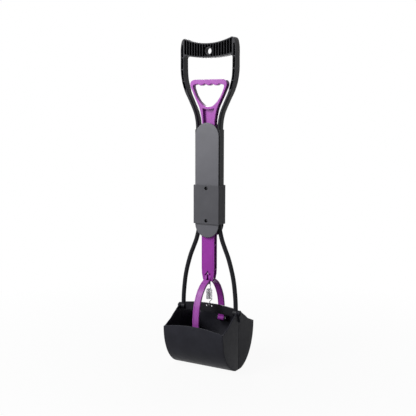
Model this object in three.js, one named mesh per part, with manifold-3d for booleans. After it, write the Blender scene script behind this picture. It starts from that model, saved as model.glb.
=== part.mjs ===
// Jaw scooper on a long handle: pulling the trigger up towards the grip lifts a rod,
// and two links on the rod swing the jaws open. A spring closes them again.
// Millimetres, X across, Y front to back with the front at -Y, Z up, origin on the ground.

import * as THREE from 'three';
import Module from 'manifold-3d';
import { mergeVertices } from 'three/addons/utils/BufferGeometryUtils.js';

const wasm = await Module();
wasm.setup();

// Heights, stacked from the ground up
const pivotHeight = 110;
const legRise = 142;
const casingLength = 217;
const handleRise = 156;
const casingBottom = pivotHeight + legRise;
const casingTop = casingBottom + casingLength;

// Clearances and the overrun of every cut
const seat = 0.3;
const running = 0.4;
const overrun = 2;

// Grip frame
const gripWidth = 118;
const gripDepth = 16;
const gripUndersideDrop = 36.4;
const gripUndersideArch = 4.6;
const gripSmile = 10;
const gripRim = 2.2;
const armRim = 1.8;
const coreWeb = 2;
const ribPitch = 5.7;
const ribWidth = 1.4;
const gripPockets = 18;
const armWidth = 6.3;
const armDepth = 15.8;
const hangHoleRadius = 5.75;
const hangBossWall = 2.1;
const hangBossDepth = 9.2;
const hangHoleDrop = 24;

// Casing, its covers and their screws
const casingWidth = 53;
const casingDepth = 21;
const sideWall = 3.1;
const coverWidth = 51;
const coverThickness = 1.9;
const tieHeight = 6;
const tieBelowScrew = 13;
const tieAboveSplit = 15;
const coverScrewSpread = 39.6;
const coverScrewRise = 18;
const coverScrewDrop = 27;
const coverScrewAboveCollar = 16;
const bossRadius = 3.9;
const postRadius = 2.6;
const postLength = 7.5;
const screwRadius = 1.5;
const screwHeadRadius = 3;
const screwHeadHeight = 1.8;

// Collar that clamps the two frames together
const collarLength = 74;
const collarRise = 26;
const collarWidth = 56.4;
const collarDepth = 26.4;
const collarScrewInset = 6;
const recessRadius = 3.3;
const recessDepth = 3.6;
const recessWall = 1.3;
const recessFloor = 1.2;

// Pull rod, trigger and the lap that joins them
const travel = 30;
const rodWidth = 27.5;
const rodDepth = 11;
const rodFlange = 2.2;
const rodWeb = 2.6;
const rodRib = 2;
const rodRibPitch = 47;
const slotHalfWidth = 2;
const slotWall = 3;
const lapLength = 32;
const lapDrop = 61;
const lapScrewInset = 8;
const lapScrewLength = 7.5;
const lapHeadRadius = 2.7;
const lapHeadHeight = 1.6;
const triggerWidth = 80;
const triggerRise = 80;
const triggerBar = 9;
const fingerBumps = 3;
const fingerPitch = 16;
const fingerBump = 3;
const grooveDepth = 2.2;
const grooveHeight = 6.4;
const stemPocketWidth = 20.6;
const stemPocketTopWidth = 25;
const stemPocketDepth = 6.5;
const stemPocketBack = 2;
const triggerOpeningHeight = 44;

// Fork at the rod's lower end, with the spring's tongue between the links
const linkPinRise = 62;
const linkPinRadius = 2;
const eyeBoreRadius = 4.2;
const eyeWall = 2.4;
const cheek = 2.4;
const forkHeight = 18;
const forkRoom = 3.4;
const notchHeight = 15;
const tongueDrop = 10;
const tongueRadius = 3;
const tongueHoleRadius = 1.5;

// Links between the rod and the jaws
const linkWidth = 13.5;
const linkThickness = 4.2;
const jawEyeRadius = 4.4;
const jawPinRadius = 1.75;
const clevisWall = 2;
const linkInset = 13.5;
const linkDrop = 91;

// Legs and the plate across them
const legRadius = 4.3;
const legEyeWidth = 8.6;
const hingeRadius = 2;
const earRadius = 6;
const earThickness = 2.7;
const hingeHeadRadius = 4.2;
const hingeHeadHeight = 2;
const plateThickness = 3;
const plateHeight = 16;
const plateArch = 4.4;
const plateRise = 7.8;
const plateHoleRadius = 1.4;
const plateHoleSpread = 11.6;
const hookHoleRadius = 1.9;
const hookHoleDrop = 3.8;

// Jaws
const jawWidth = 130;
const jawReach = 62.5;
const jawWall = 2.2;
const bowlDrop = 30;
const bowlFlat = 1;
const rimDrop = 27;
const rimCrown = 7;

// Return spring
const wireRadius = 0.7;
const coilRadius = 5.4;
const coilTurns = 9;
const coilPitch = 2.3;
const hookRadius = 3.1;
const stepsPerTurn = 8;
const wireSides = 5;

// Facets
const smallSides = 12;
const roundSides = 20;
const curveSteps = 10;

// Places worked out from the sizes above
const gripTop = casingTop + handleRise;
const frameHalfDepth = casingDepth / 2 - coverThickness - seat;
const coverInner = casingDepth / 2 - coverThickness;
const collarBottom = casingBottom + collarRise;
const collarTop = collarBottom + collarLength;
const collarScrewHeights = [collarBottom + collarScrewInset, collarTop - collarScrewInset];
const splitHeight = (collarBottom + collarTop) / 2;
const coverScrewHeights = [
  casingBottom + coverScrewRise,
  collarTop + coverScrewAboveCollar,
  casingTop - coverScrewDrop,
];
const triggerTop = casingTop + triggerRise;
const lapTop = casingTop - lapDrop;
const lapBottom = lapTop - lapLength;
const linkPinHeight = pivotHeight + linkPinRise;
const jawPinHeight = linkPinHeight - linkDrop;
const linkReach = jawReach - linkInset;
const bowlHeight = pivotHeight - bowlDrop;
const bowlDepth = bowlHeight + bowlFlat;
const rimHeight = pivotHeight - rimDrop;
const jawInner = jawWidth / 2 - jawWall;
const legEyeOuter = jawInner - running;
const legFoot = legEyeOuter - legRadius;
const legHead = casingWidth / 2 - legRadius - seat;
const earInner = jawWidth / 2 + seat;
const earOuter = earInner + earThickness;
const earClear = earRadius + 2 * seat;
const hingeBore = hingeRadius + seat;
const screwBore = screwRadius + seat;
const linkHalf = linkWidth / 2;
const forkInner = linkHalf + running;
const eyeRadius = eyeBoreRadius + eyeWall;
const tongueHoleHeight = linkPinHeight - tongueDrop;
const plateBottom = pivotHeight - plateRise;
const plateTopEnds = plateBottom + plateHeight;
const plateTopMiddle = plateTopEnds + plateArch;
const hookHoleHeight = plateTopMiddle - hookHoleDrop;

// Materials
const finish = (color, roughness, metalness = 0) =>
  new THREE.MeshStandardMaterial({ color, roughness, metalness });
const charcoal = finish(0x2b2b2f, 0.5);
const slate = finish(0x66666b, 0.6);
const violet = finish(0x9a3fa8, 0.42);
const steel = finish(0xb9bbbf, 0.3, 1);

// A closed mesh as a solid
function solid(geometry) {
  const bare = geometry.clone();
  bare.deleteAttribute('normal');
  bare.deleteAttribute('uv');
  const merged = mergeVertices(bare);
  return new wasm.Manifold(new wasm.Mesh({
    numProp: 3,
    vertProperties: Float32Array.from(merged.attributes.position.array),
    triVerts: Uint32Array.from(merged.index.array),
  }));
}

// A solid as a named mesh
function piece(name, body, material) {
  const { vertProperties, triVerts } = body.getMesh();
  const geometry = new THREE.BufferGeometry();
  geometry.setAttribute('position', new THREE.BufferAttribute(vertProperties, 3));
  geometry.setIndex(new THREE.BufferAttribute(triVerts, 1));
  geometry.computeVertexNormals();
  const mesh = new THREE.Mesh(geometry, material);
  mesh.name = name;
  return mesh;
}

const join = (...bodies) => bodies.reduce((whole, body) => whole.add(body));
const cut = (body, ...tools) => tools.reduce((rest, tool) => rest.subtract(tool), body);

function block(x0, x1, y0, y1, z0, z1) {
  const geometry = new THREE.BoxGeometry(x1 - x0, y1 - y0, z1 - z0);
  geometry.translate((x0 + x1) / 2, (y0 + y1) / 2, (z0 + z1) / 2);
  return solid(geometry);
}

// A block centred on X = 0
const bar = (halfWidth, y0, y1, z0, z1) => block(-halfWidth, halfWidth, y0, y1, z0, z1);

function extrude(points, depth) {
  const outline = new THREE.Shape(points.map(([a, b]) => new THREE.Vector2(a, b)));
  return new THREE.ExtrudeGeometry(outline, { depth, bevelEnabled: false, steps: 1 });
}

// An outline of [x, z] points, run from y0 to y1
function frontPlate(points, y0, y1) {
  const geometry = extrude(points, y1 - y0);
  geometry.rotateX(Math.PI / 2);
  geometry.translate(0, y1, 0);
  return solid(geometry);
}

// An outline of [y, z] points, run from x0 to x1
function sidePlate(points, x0, x1) {
  const geometry = extrude(points, x1 - x0);
  const turn = new THREE.Matrix4().makeBasis(
    new THREE.Vector3(0, 1, 0), new THREE.Vector3(0, 0, 1), new THREE.Vector3(1, 0, 0));
  geometry.applyMatrix4(turn);
  geometry.translate(x0, 0, 0);
  return solid(geometry);
}

function pinAlongX(radius, x0, x1, y, z, sides = smallSides) {
  const geometry = new THREE.CylinderGeometry(radius, radius, x1 - x0, sides);
  geometry.rotateZ(Math.PI / 2);
  geometry.translate((x0 + x1) / 2, y, z);
  return solid(geometry);
}

function pinAlongY(radius, y0, y1, x, z, sides = smallSides) {
  const geometry = new THREE.CylinderGeometry(radius, radius, y1 - y0, sides);
  geometry.translate(x, (y0 + y1) / 2, z);
  return solid(geometry);
}

// A skin over rings of points, each ring turning anticlockwise about the way ahead
function loft(rings) {
  const count = rings[0].length;
  const last = (rings.length - 1) * count;
  const faces = [];
  for (let ring = 0; ring < rings.length - 1; ring += 1) {
    for (let k = 0; k < count; k += 1) {
      const a = ring * count + k;
      const b = ring * count + (k + 1) % count;
      faces.push(a, b, b + count, a, b + count, a + count);
    }
  }
  for (let k = 1; k < count - 1; k += 1) {
    faces.push(0, k + 1, k, last, last + k, last + k + 1);
  }
  const geometry = new THREE.BufferGeometry().setFromPoints(rings.flat());
  geometry.setIndex(faces);
  return solid(geometry);
}

// A bar along a path in the XZ plane. A section is its half width, its half depth and
// its squareness, from 0 for an oval towards 1 for a rectangle.
function sweep(path, steps, sectionAt, sides) {
  const across = new THREE.Vector3(0, 1, 0);
  const squared = (value, squareness) => Math.sign(value) * Math.abs(value) ** (1 - squareness);
  const rings = [];
  for (let step = 0; step <= steps; step += 1) {
    const share = step / steps;
    const centre = path.getPoint(share);
    const outward = across.clone().cross(path.getTangent(share));
    const [halfWidth, halfDepth, squareness] = sectionAt(share);
    const ring = [];
    for (let k = 0; k < sides; k += 1) {
      const turn = 2 * Math.PI * k / sides;
      ring.push(centre.clone()
        .addScaledVector(outward, halfWidth * squared(Math.cos(turn), squareness))
        .addScaledVector(across, halfDepth * squared(Math.sin(turn), squareness)));
    }
    rings.push(ring);
  }
  return loft(rings);
}

const pathXZ = points => new THREE.CatmullRomCurve3(points.map(([x, z]) => new THREE.Vector3(x, 0, z)));
const smooth = (points, steps) =>
  new THREE.SplineCurve(points.map(([a, b]) => new THREE.Vector2(a, b))).getPoints(steps)
    .map(point => [point.x, point.y]);
const mirrored = points => [...points, ...points.map(([x, z]) => [-x, z]).reverse()];
const flip = body => body.mirror([1, 0, 0]);
const onBothSides = body => join(body, flip(body));

// An arc of [a, b] points
function arc(centreA, centreB, radius, from, to, steps) {
  return Array.from({ length: steps + 1 }, (_, k) => {
    const angle = from + (to - from) * k / steps;
    return [centreA + radius * Math.cos(angle), centreB + radius * Math.sin(angle)];
  });
}

// Where a row of points with rising heights stands at a height
function widthAt(points, height) {
  const next = Math.max(1, points.findIndex(([, z]) => z >= height));
  const [[x0, z0], [x1, z1]] = [points[next - 1], points[next]];
  return x0 + (x1 - x0) * (height - z0) / (z1 - z0);
}

// Grip frame: a cored hoop with a smile-shaped grip, on two arms that run into the casing.
// Points as shares of the grip's half width and of the handle's rise.
const hoopOuterShares = [
  [0.905, 0.431], [0.945, 0.485], [0.98, 0.557], [1, 0.635], [1, 0.75],
  [1, 0.86], [0.99, 0.91], [0.965, 0.96], [0.92, 0.99], [0.85, 1],
];
const hoopInnerShares = [
  [0.789, 0.431], [0.853, 0.52], [0.876, 0.615], [0.881, 0.7], [0.881, 0.74],
];
const taperShares = [[0.97, 0.42], [0.99, 0.47], [1, 0.52], [1, 1.1]];
const openingCornerShares = [[0.88, 0.77], [0.85, 0.788], [0.79, 0.796]];
const armPathShares = [
  [0.395, -0.18], [0.395, -0.05], [0.424, 0.045], [0.497, 0.14], [0.682, 0.285], [0.765, 0.346],
  [0.828, 0.405], [0.868, 0.46],
];
// The arm's depth at the same points, as a share of its plain depth, and its squareness
const armSectionShares = [
  [1, 0.45], [1, 0.45], [1, 0.45], [1, 0.45], [1, 0.5], [1, 0.65], [1, 0.8], [1, 0.87],
];
const armPocketShares = [[0.395, 0.487], [0.5, 0.628], [0.641, 0.769], [0.782, 0.925]];

const scaled = (shares, width, base, height) => shares.map(([a, b]) => [a * width, base + b * height]);
const hoopOuter = smooth(scaled(hoopOuterShares, gripWidth / 2, casingTop, handleRise), 2 * curveSteps);
const hoopInner = smooth(scaled(hoopInnerShares, gripWidth / 2, casingTop, handleRise), curveSteps);
const openingCorner = scaled(openingCornerShares, gripWidth / 2, casingTop, handleRise);
const hornX = hoopOuter.at(-1)[0];
const openingEdge = openingCorner.at(-1)[0];
const gripCrest = x => gripTop - gripSmile * (1 - (x / hornX) ** 2);
const gripUnderside = x => gripTop - gripUndersideDrop + gripUndersideArch * (x / openingEdge) ** 2;

function alongGrip(from, to, height) {
  return Array.from({ length: curveSteps + 1 }, (_, k) => {
    const x = from + (to - from) * k / curveSteps;
    return [x, height(x)];
  });
}

function gripPocket(k) {
  const middle = (k - (gripPockets - 1) / 2) * ribPitch;
  const half = (ribPitch - ribWidth) / 2;
  const [x0, x1] = [middle - half, middle + half];
  return [
    [x0, gripUnderside(x0) + gripRim], [x1, gripUnderside(x1) + gripRim],
    [x1, gripCrest(x1) - gripRim], [x0, gripCrest(x0) - gripRim],
  ];
}

function armPocket([fromShare, toShare]) {
  const steps = curveSteps / 5;
  const outer = [];
  const inner = [];
  for (let k = 0; k <= steps; k += 1) {
    const z = casingTop + handleRise * (fromShare + (toShare - fromShare) * k / steps);
    const insideTop = Math.min(z, hoopInner.at(-1)[1]);
    outer.push([widthAt(hoopOuter, z) - armRim, z]);
    inner.push([widthAt(hoopInner, insideTop) + armRim, z]);
  }
  return [...outer, ...inner.reverse()];
}

function handleFrame() {
  const half = gripDepth / 2;
  const outline = [
    ...hoopOuter, ...alongGrip(hornX, -hornX, gripCrest).slice(1, -1),
    ...hoopOuter.map(([x, z]) => [-x, z]).reverse(),
    ...hoopInner.map(([x, z]) => [-x, z]), ...openingCorner.map(([x, z]) => [-x, z]),
    ...alongGrip(-openingEdge, openingEdge, gripUnderside).slice(1, -1),
    ...openingCorner.toReversed(), ...hoopInner.toReversed(),
  ];
  const pockets = Array.from({ length: gripPockets }, (_, k) => gripPocket(k));
  const rights = armPocketShares.map(armPocket);
  const lefts = rights.map(points => points.map(([x, z]) => [-x, z]).reverse());
  const cores = [...pockets, ...rights, ...lefts].flatMap(points => [
    frontPlate(points, -half - overrun, -coreWeb / 2),
    frontPlate(points, coreWeb / 2, half + overrun),
  ]);
  const holeHeight = gripTop - hangHoleDrop;
  const bossOuter = hangHoleRadius + hangBossWall;
  const relief = bossOuter + ribWidth;
  const taper = scaled(taperShares, half, casingTop, handleRise);
  const hoopBody = frontPlate(outline, -half, half)
    .intersect(sidePlate(mirrored(taper).reverse(), -gripWidth, gripWidth));
  const sections = pathXZ(scaled(armSectionShares, armDepth / 2, 0, 1));
  const armSection = share => {
    const { x: depth, z: squareness } = sections.getPoint(share);
    return [armWidth / 2, depth, squareness];
  };
  const arm = sweep(pathXZ(scaled(armPathShares, gripWidth / 2, casingTop, handleRise)),
    2 * curveSteps, armSection, smallSides);
  const hoop = join(
    cut(join(hoopBody, onBothSides(arm)), ...cores,
      pinAlongY(relief, -half - overrun, -coreWeb / 2, 0, holeHeight, roundSides),
      pinAlongY(relief, coreWeb / 2, half + overrun, 0, holeHeight, roundSides)),
    pinAlongY(bossOuter, -hangBossDepth / 2, hangBossDepth / 2, 0, holeHeight, roundSides));
  const inside = casingWidth / 2 - sideWall;
  const wallTop = casingTop - coverWidth / 4;
  const wall = block(inside, casingWidth / 2, -frameHalfDepth, frameHalfDepth, splitHeight + seat / 2, wallTop);
  const frame = join(
    hoop, onBothSides(wall),
    guideTie(coverScrewHeights[2] - tieBelowScrew), guideTie(splitHeight + tieAboveSplit),
    ...coverScrewHeights.slice(1).map(coverBoss));
  return cut(frame,
    pinAlongY(hangHoleRadius, -half, half, 0, holeHeight, roundSides),
    ...coverScrewHeights.slice(1).map(coverBossBore));
}

// A ring across the casing that guides the rod
function guideTie(height) {
  const [z0, z1] = [height - tieHeight / 2, height + tieHeight / 2];
  const inside = casingWidth / 2 - sideWall;
  const guide = rodWidth / 2 + running;
  return cut(
    bar(inside + sideWall / 2, -frameHalfDepth, frameHalfDepth, z0, z1),
    bar(guide, -rodDepth / 2 - running, rodDepth / 2 + running, z0 - overrun, z1 + overrun));
}

const coverBoss = height => onBothSides(
  pinAlongY(bossRadius, -frameHalfDepth, frameHalfDepth, coverScrewSpread / 2, height));
const coverBossBore = height => onBothSides(join(
  pinAlongY(postRadius + seat, -casingDepth, -coverInner + postLength + seat, coverScrewSpread / 2, height),
  pinAlongY(screwBore, -casingDepth, casingDepth, coverScrewSpread / 2, height)));

// Lower frame: two round legs out of the casing, with a plate across them and an eye on each foot.
// Points as shares of the leg's way out from its head to its foot, and of its rise above the hinge line.
const legPathShares = [
  [0, 1.36], [0, 1.2], [0.036, 1.1], [0.173, 0.965], [0.351, 0.852], [0.552, 0.729],
  [0.724, 0.588], [0.836, 0.472], [0.914, 0.352], [0.98, 0.19], [1, 0.077], [1, 0],
];

function lowerFrame() {
  const path = scaled(legPathShares, legFoot - legHead, pivotHeight, legRise);
  const leg = sweep(pathXZ(path.map(([x, z]) => [legHead + x, z])),
    2 * curveSteps, () => [legRadius, legRadius, 0], smallSides);
  const eyeInner = legEyeOuter - legEyeWidth;
  const eye = pinAlongX(earRadius, eyeInner, legEyeOuter, 0, pivotHeight, roundSides);
  const wallBottom = collarBottom + collarScrewInset;
  const wall = block(casingWidth / 2 - sideWall, casingWidth / 2,
    -frameHalfDepth, frameHalfDepth, wallBottom, splitHeight - seat / 2);
  const half = legFoot - legRadius / 2;
  const arch = (base, rise) => x => base + rise * (1 - (x / half) ** 2);
  const plate = frontPlate([
    ...alongGrip(-half, half, arch(plateBottom, plateArch / 2)),
    ...alongGrip(half, -half, arch(plateTopEnds, plateArch)),
  ], -plateThickness / 2, plateThickness / 2);
  const hookHole = pinAlongY(hookHoleRadius, -plateThickness, plateThickness, 0, hookHoleHeight);
  const sideHole = pinAlongY(plateHoleRadius, -plateThickness, plateThickness,
    plateHoleSpread / 2, plateTopMiddle - plateHeight / 3);
  const frame = join(plate, onBothSides(leg), onBothSides(eye), onBothSides(wall),
    guideTie(splitHeight - tieAboveSplit), coverBoss(coverScrewHeights[0]));
  return cut(frame, hookHole, onBothSides(sideHole), coverBossBore(coverScrewHeights[0]),
    onBothSides(pinAlongX(hingeBore, eyeInner - overrun, jawWidth, 0, pivotHeight)));
}

// Covers: stadium plates with a hole for each collar boss
function coverPlate(y0, y1) {
  const half = coverWidth / 2;
  return cut(frontPlate([
    ...arc(0, casingTop - half, half, 0, Math.PI, curveSteps),
    ...arc(0, casingBottom + half, half, Math.PI, 2 * Math.PI, curveSteps),
  ], y0, y1), ...collarScrewHeights.map(height =>
    pinAlongY(recessRadius + recessWall + seat, y0 - overrun, y1 + overrun, 0, height)));
}

function frontCover() {
  const posts = coverScrewHeights.map(height => onBothSides(
    pinAlongY(postRadius, -coverInner - coverThickness / 2, -coverInner + postLength,
      coverScrewSpread / 2, height)));
  const bores = coverScrewHeights.map(height => onBothSides(
    pinAlongY(screwBore, -coverInner, casingDepth, coverScrewSpread / 2, height)));
  return cut(join(coverPlate(-casingDepth / 2, -coverInner), ...posts), ...bores);
}

function rearCover() {
  return cut(coverPlate(coverInner, casingDepth / 2), ...coverScrewHeights.map(height => onBothSides(
    pinAlongY(screwBore, 0, casingDepth, coverScrewSpread / 2, height))));
}

// Collar: two half shells, the front one with recessed screw seats, the rear one with bosses
const collarShell = (y0, y1) => cut(
  bar(collarWidth / 2, y0, y1, collarBottom, collarTop),
  bar(casingWidth / 2 + seat, -casingDepth / 2 - seat, casingDepth / 2 + seat,
    collarBottom - overrun, collarTop + overrun));
const recessBottom = -collarDepth / 2 + recessDepth + screwHeadHeight;

function collarFront() {
  const seats = collarScrewHeights.map(height =>
    pinAlongY(recessRadius + recessWall, -collarDepth / 2, recessBottom + recessFloor, 0, height));
  const bores = collarScrewHeights.flatMap(height => [
    pinAlongY(recessRadius, -collarDepth, recessBottom, 0, height),
    pinAlongY(screwBore, -collarDepth, 0, 0, height),
  ]);
  return cut(join(collarShell(-collarDepth / 2, -seat / 2), ...seats), ...bores);
}

function collarRear() {
  const bosses = collarScrewHeights.map(height =>
    pinAlongY(recessRadius + recessWall, -recessBottom - recessFloor, collarDepth / 2, 0, height));
  const bores = collarScrewHeights.map(height =>
    pinAlongY(screwBore, 0, collarDepth / 2 - recessFloor, 0, height));
  return cut(join(collarShell(seat / 2, collarDepth / 2), ...bosses), ...bores);
}

// A pan-head screw that points along +Y, with the underside of its head at the origin
function screw(shankLength, headRadius, headHeight) {
  const crown = headHeight / 3;
  const profile = [
    [0, shankLength], [screwRadius, shankLength], [screwRadius, 0], [headRadius, 0],
    [headRadius, crown - headHeight], [headRadius - crown, -headHeight], [0, -headHeight],
  ];
  const points = profile.toReversed().map(([r, y]) => new THREE.Vector2(r, y));
  const turned = new THREE.LatheGeometry(points, smallSides);
  const slot = bar(headRadius - crown, -headHeight - overrun, crown - headHeight, -crown / 2, crown / 2);
  const cross = slot.rotate([0, 90, 0]);
  return cut(solid(turned), slot, cross);
}

// Trigger: a three-sided finger loop with a grooved edge, on a flat stem.
// Points as shares of half the trigger's width and of its rise above the casing.
const triggerSideShares = [
  [0.82, 0.995], [0.93, 0.965], [0.99, 0.91], [0.965, 0.83], [0.87, 0.73], [0.745, 0.6],
  [0.615, 0.475], [0.49, 0.345], [0.41, 0.2], [0.36, 0.06], [0.344, -0.08],
];
const openingShares = [
  [0.8, 0.975], [0.825, 0.92], [0.79, 0.8], [0.66, 0.53], [0.47, 0.29], [0.27, 0.12], [0.13, 0.065], [0, 0.05],
];

function triggerHandle() {
  const [halfWidth, half] = [triggerWidth / 2, rodDepth / 2];
  const side = smooth(scaled(triggerSideShares, halfWidth, casingTop, triggerRise), 2 * curveSteps);
  const stemHalf = rodWidth / 2;
  const stemEnd = [[stemHalf, side.at(-1)[1]], [stemHalf, lapBottom]];
  const outer = [[side[0][0], triggerTop], ...side.slice(1, -1), ...stemEnd];
  const body = frontPlate(mirrored(outer).toReversed(), -half, half);

  const openingTop = triggerTop - triggerBar;
  const openingBottom = openingTop - triggerOpeningHeight;
  const openingSide = smooth(scaled(openingShares, halfWidth, openingBottom, triggerOpeningHeight), 2 * curveSteps);
  const reach = fingerBumps * fingerPitch / 2;
  const bump = x =>
    openingTop + fingerBump / 4 - fingerBump / 2 * (1 + Math.cos(2 * Math.PI * x / fingerPitch));
  const underside = Array.from({ length: 4 * curveSteps + 1 }, (_, k) => {
    const x = -reach + 2 * reach * k / (4 * curveSteps);
    return [x, bump(x)];
  });
  const right = openingSide.slice(0, -1);
  const opening = frontPlate([
    ...underside, ...right, openingSide.at(-1), ...right.map(([x, z]) => [-x, z]).reverse(),
  ].toReversed(), -half - overrun, half + overrun);

  const inset = side.map(([x, z]) => [x - grooveDepth, z]);
  const grooveTop = inset.filter(([, z]) => z < openingTop && z > casingTop - coverWidth / 2);
  const groove = onBothSides(frontPlate([
    ...grooveTop, ...grooveTop.toReversed().map(([x, z]) => [x + 2 * overrun + grooveDepth, z]),
  ].toReversed(), -grooveHeight / 2, grooveHeight / 2));

  const pocketHalf = stemPocketWidth / 2;
  const pocketTopHalf = stemPocketTopWidth / 2;
  const pocketShape = [
    [-pocketHalf, lapTop + rodRib], [pocketHalf, lapTop + rodRib], [pocketHalf, casingTop],
    [pocketTopHalf, openingBottom], [0, openingBottom - rodRib], [-pocketTopHalf, openingBottom],
    [-pocketHalf, casingTop],
  ];
  const pockets = [
    frontPlate(pocketShape, -half - overrun, -half + stemPocketDepth),
    frontPlate(pocketShape, half - stemPocketBack, half + overrun),
  ];
  const lap = bar(stemHalf + overrun, -seat / 2, half + overrun, lapBottom - overrun, lapTop + seat);
  const bores = lapScrewHeights.flatMap(height => [
    pinAlongY(screwBore, -half - overrun, overrun, 0, height),
    pinAlongY(lapHeadRadius + seat, -half - overrun, -half + lapHeadHeight + seat, 0, height),
  ]);
  return cut(body, opening, groove, ...pockets, lap, ...bores);
}

const lapScrewHeights = [lapBottom + lapScrewInset, lapTop - lapScrewInset];

// Pull rod: a flanged bar with slots for the collar screws and a fork at its lower end
function pullRod() {
  const [halfWidth, half] = [rodWidth / 2, rodDepth / 2];
  const inner = half - rodFlange;
  const forkTop = linkPinHeight + forkHeight;
  const forkBottom = linkPinHeight - eyeRadius + rodFlange / 2;
  const forkOuter = forkInner + cheek;
  const side = [
    [forkOuter, forkBottom], [halfWidth - cheek, linkPinHeight],
    [halfWidth - cheek / 4, linkPinHeight + forkHeight / 2], [halfWidth, forkTop + rodRib], [halfWidth, lapTop],
  ];
  const body = frontPlate(mirrored(side), -half, half);

  const slotEnd = screwRadius + seat + seat / 2;
  const slots = collarScrewHeights.map(height => join(
    bar(slotHalfWidth, -half - overrun, half + overrun, height - travel, height),
    pinAlongY(slotHalfWidth, -half - overrun, half + overrun, 0, height + slotEnd - slotHalfWidth),
    pinAlongY(slotHalfWidth, -half - overrun, half + overrun, 0, height - travel - slotEnd + slotHalfWidth)));
  const slotCores = collarScrewHeights.map(height => bar(slotHalfWidth + slotWall, -half, half,
    height - travel - slotHalfWidth - slotWall, height + slotHalfWidth + slotWall));
  const ribs = [];
  for (let z = forkTop; z < lapBottom; z += rodRibPitch) {
    ribs.push(bar(halfWidth, -half, half, z - rodRib / 2, z + rodRib / 2));
  }
  const kept = join(bar(rodWeb / 2, -half, half, forkBottom, lapBottom), ...slotCores, ...ribs);
  const sideRecess = onBothSides(block(rodWeb / 2, halfWidth + overrun, -inner, inner,
    forkTop, lapBottom - rodRib)).subtract(kept);

  const roomTop = linkPinHeight + eyeRadius + forkRoom;
  const room = block(-forkInner, forkInner, -inner, inner, forkBottom - overrun, roomTop)
    .subtract(bar(rodWeb / 2, -half, half, forkBottom - overrun, forkTop + overrun));
  const flankRecess = onBothSides(block(forkOuter, halfWidth + overrun, -inner, inner,
    forkBottom - overrun, forkTop - rodRib));
  const notchShape = [
    [-forkInner, forkBottom - overrun], [forkInner, forkBottom - overrun],
    [forkInner, linkPinHeight + eyeRadius], [0, linkPinHeight + notchHeight],
    [-forkInner, linkPinHeight + eyeRadius],
  ];
  const notches = [
    frontPlate(notchShape, -half - overrun, -inner + seat),
    frontPlate(notchShape, inner - seat, half + overrun),
  ];
  const lap = bar(halfWidth + overrun, -half - overrun, seat / 2, lapBottom - seat, lapTop + overrun);
  const bores = lapScrewHeights.map(height =>
    pinAlongY(screwBore, -overrun, -half + lapHeadHeight + lapScrewLength + seat, 0, height));
  const tongue = join(
    block(-rodWeb / 2, rodWeb / 2, -tongueRadius, tongueRadius, tongueHoleHeight, forkBottom + overrun),
    pinAlongX(tongueRadius, -rodWeb / 2, rodWeb / 2, 0, tongueHoleHeight));
  const rod = join(cut(body, sideRecess, room, flankRecess, ...notches, ...slots, lap, ...bores), tongue);
  return cut(rod,
    pinAlongX(linkPinRadius + seat, -forkOuter - overrun, forkOuter + overrun, 0, linkPinHeight),
    pinAlongX(tongueHoleRadius, -rodWeb, rodWeb, 0, tongueHoleHeight));
}

// Link for the rear jaw: a bowed strap from the rod's pin to the jaw's pin.
// Points as shares of the link's reach and of its drop.
const linkPathShares = [
  [0, 1], [0.285, 0.93], [0.49, 0.862], [0.684, 0.752], [0.826, 0.626], [0.93, 0.489],
  [0.99, 0.319], [1.015, 0.176], [1, 0],
];

function link() {
  const path = smooth(scaled(linkPathShares, linkReach, jawPinHeight, linkDrop), 2 * curveSteps);
  const half = linkThickness / 2;
  const offset = side => path.map(([y, z], k) => {
    const [y0, z0] = path[Math.max(k - 1, 0)];
    const [y1, z1] = path[Math.min(k + 1, path.length - 1)];
    const length = Math.hypot(y1 - y0, z1 - z0);
    return [y + side * half * (z0 - z1) / length, z + side * half * (y1 - y0) / length];
  });
  const strap = sidePlate([...offset(1), ...offset(-1).reverse()].reverse(), -linkHalf, linkHalf);
  const rodEye = pinAlongX(eyeRadius, rodWeb / 2 + running, linkHalf, 0, linkPinHeight, roundSides);
  const room = 2 * eyeRadius - rodWeb / 2;
  const clearOfPartner = block(-linkHalf - overrun, rodWeb / 2 + running, -room, eyeRadius + linkThickness,
    linkPinHeight - room, linkPinHeight + room);
  return cut(join(cut(strap, clearOfPartner), rodEye,
    pinAlongX(jawEyeRadius, -linkHalf, linkHalf, linkReach, jawPinHeight, roundSides)),
  pinAlongX(eyeBoreRadius, -linkWidth, linkWidth, 0, linkPinHeight, roundSides),
  pinAlongX(jawPinRadius + seat, -linkWidth, linkWidth, linkReach, jawPinHeight));
}

// Rear jaw: a quarter bowl with an ear in its wall on one side and a stepped-out ear on the other.
// The side walls' top edge as shares of the reach and of the rise from the rim to the ear's crown.
const jawEdgeShares = [
  [0.89, 0.035], [0.77, 0.15], [0.6, 0.31], [0.47, 0.49], [0.32, 0.665], [0.2, 0.81], [0, 1],
];

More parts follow.
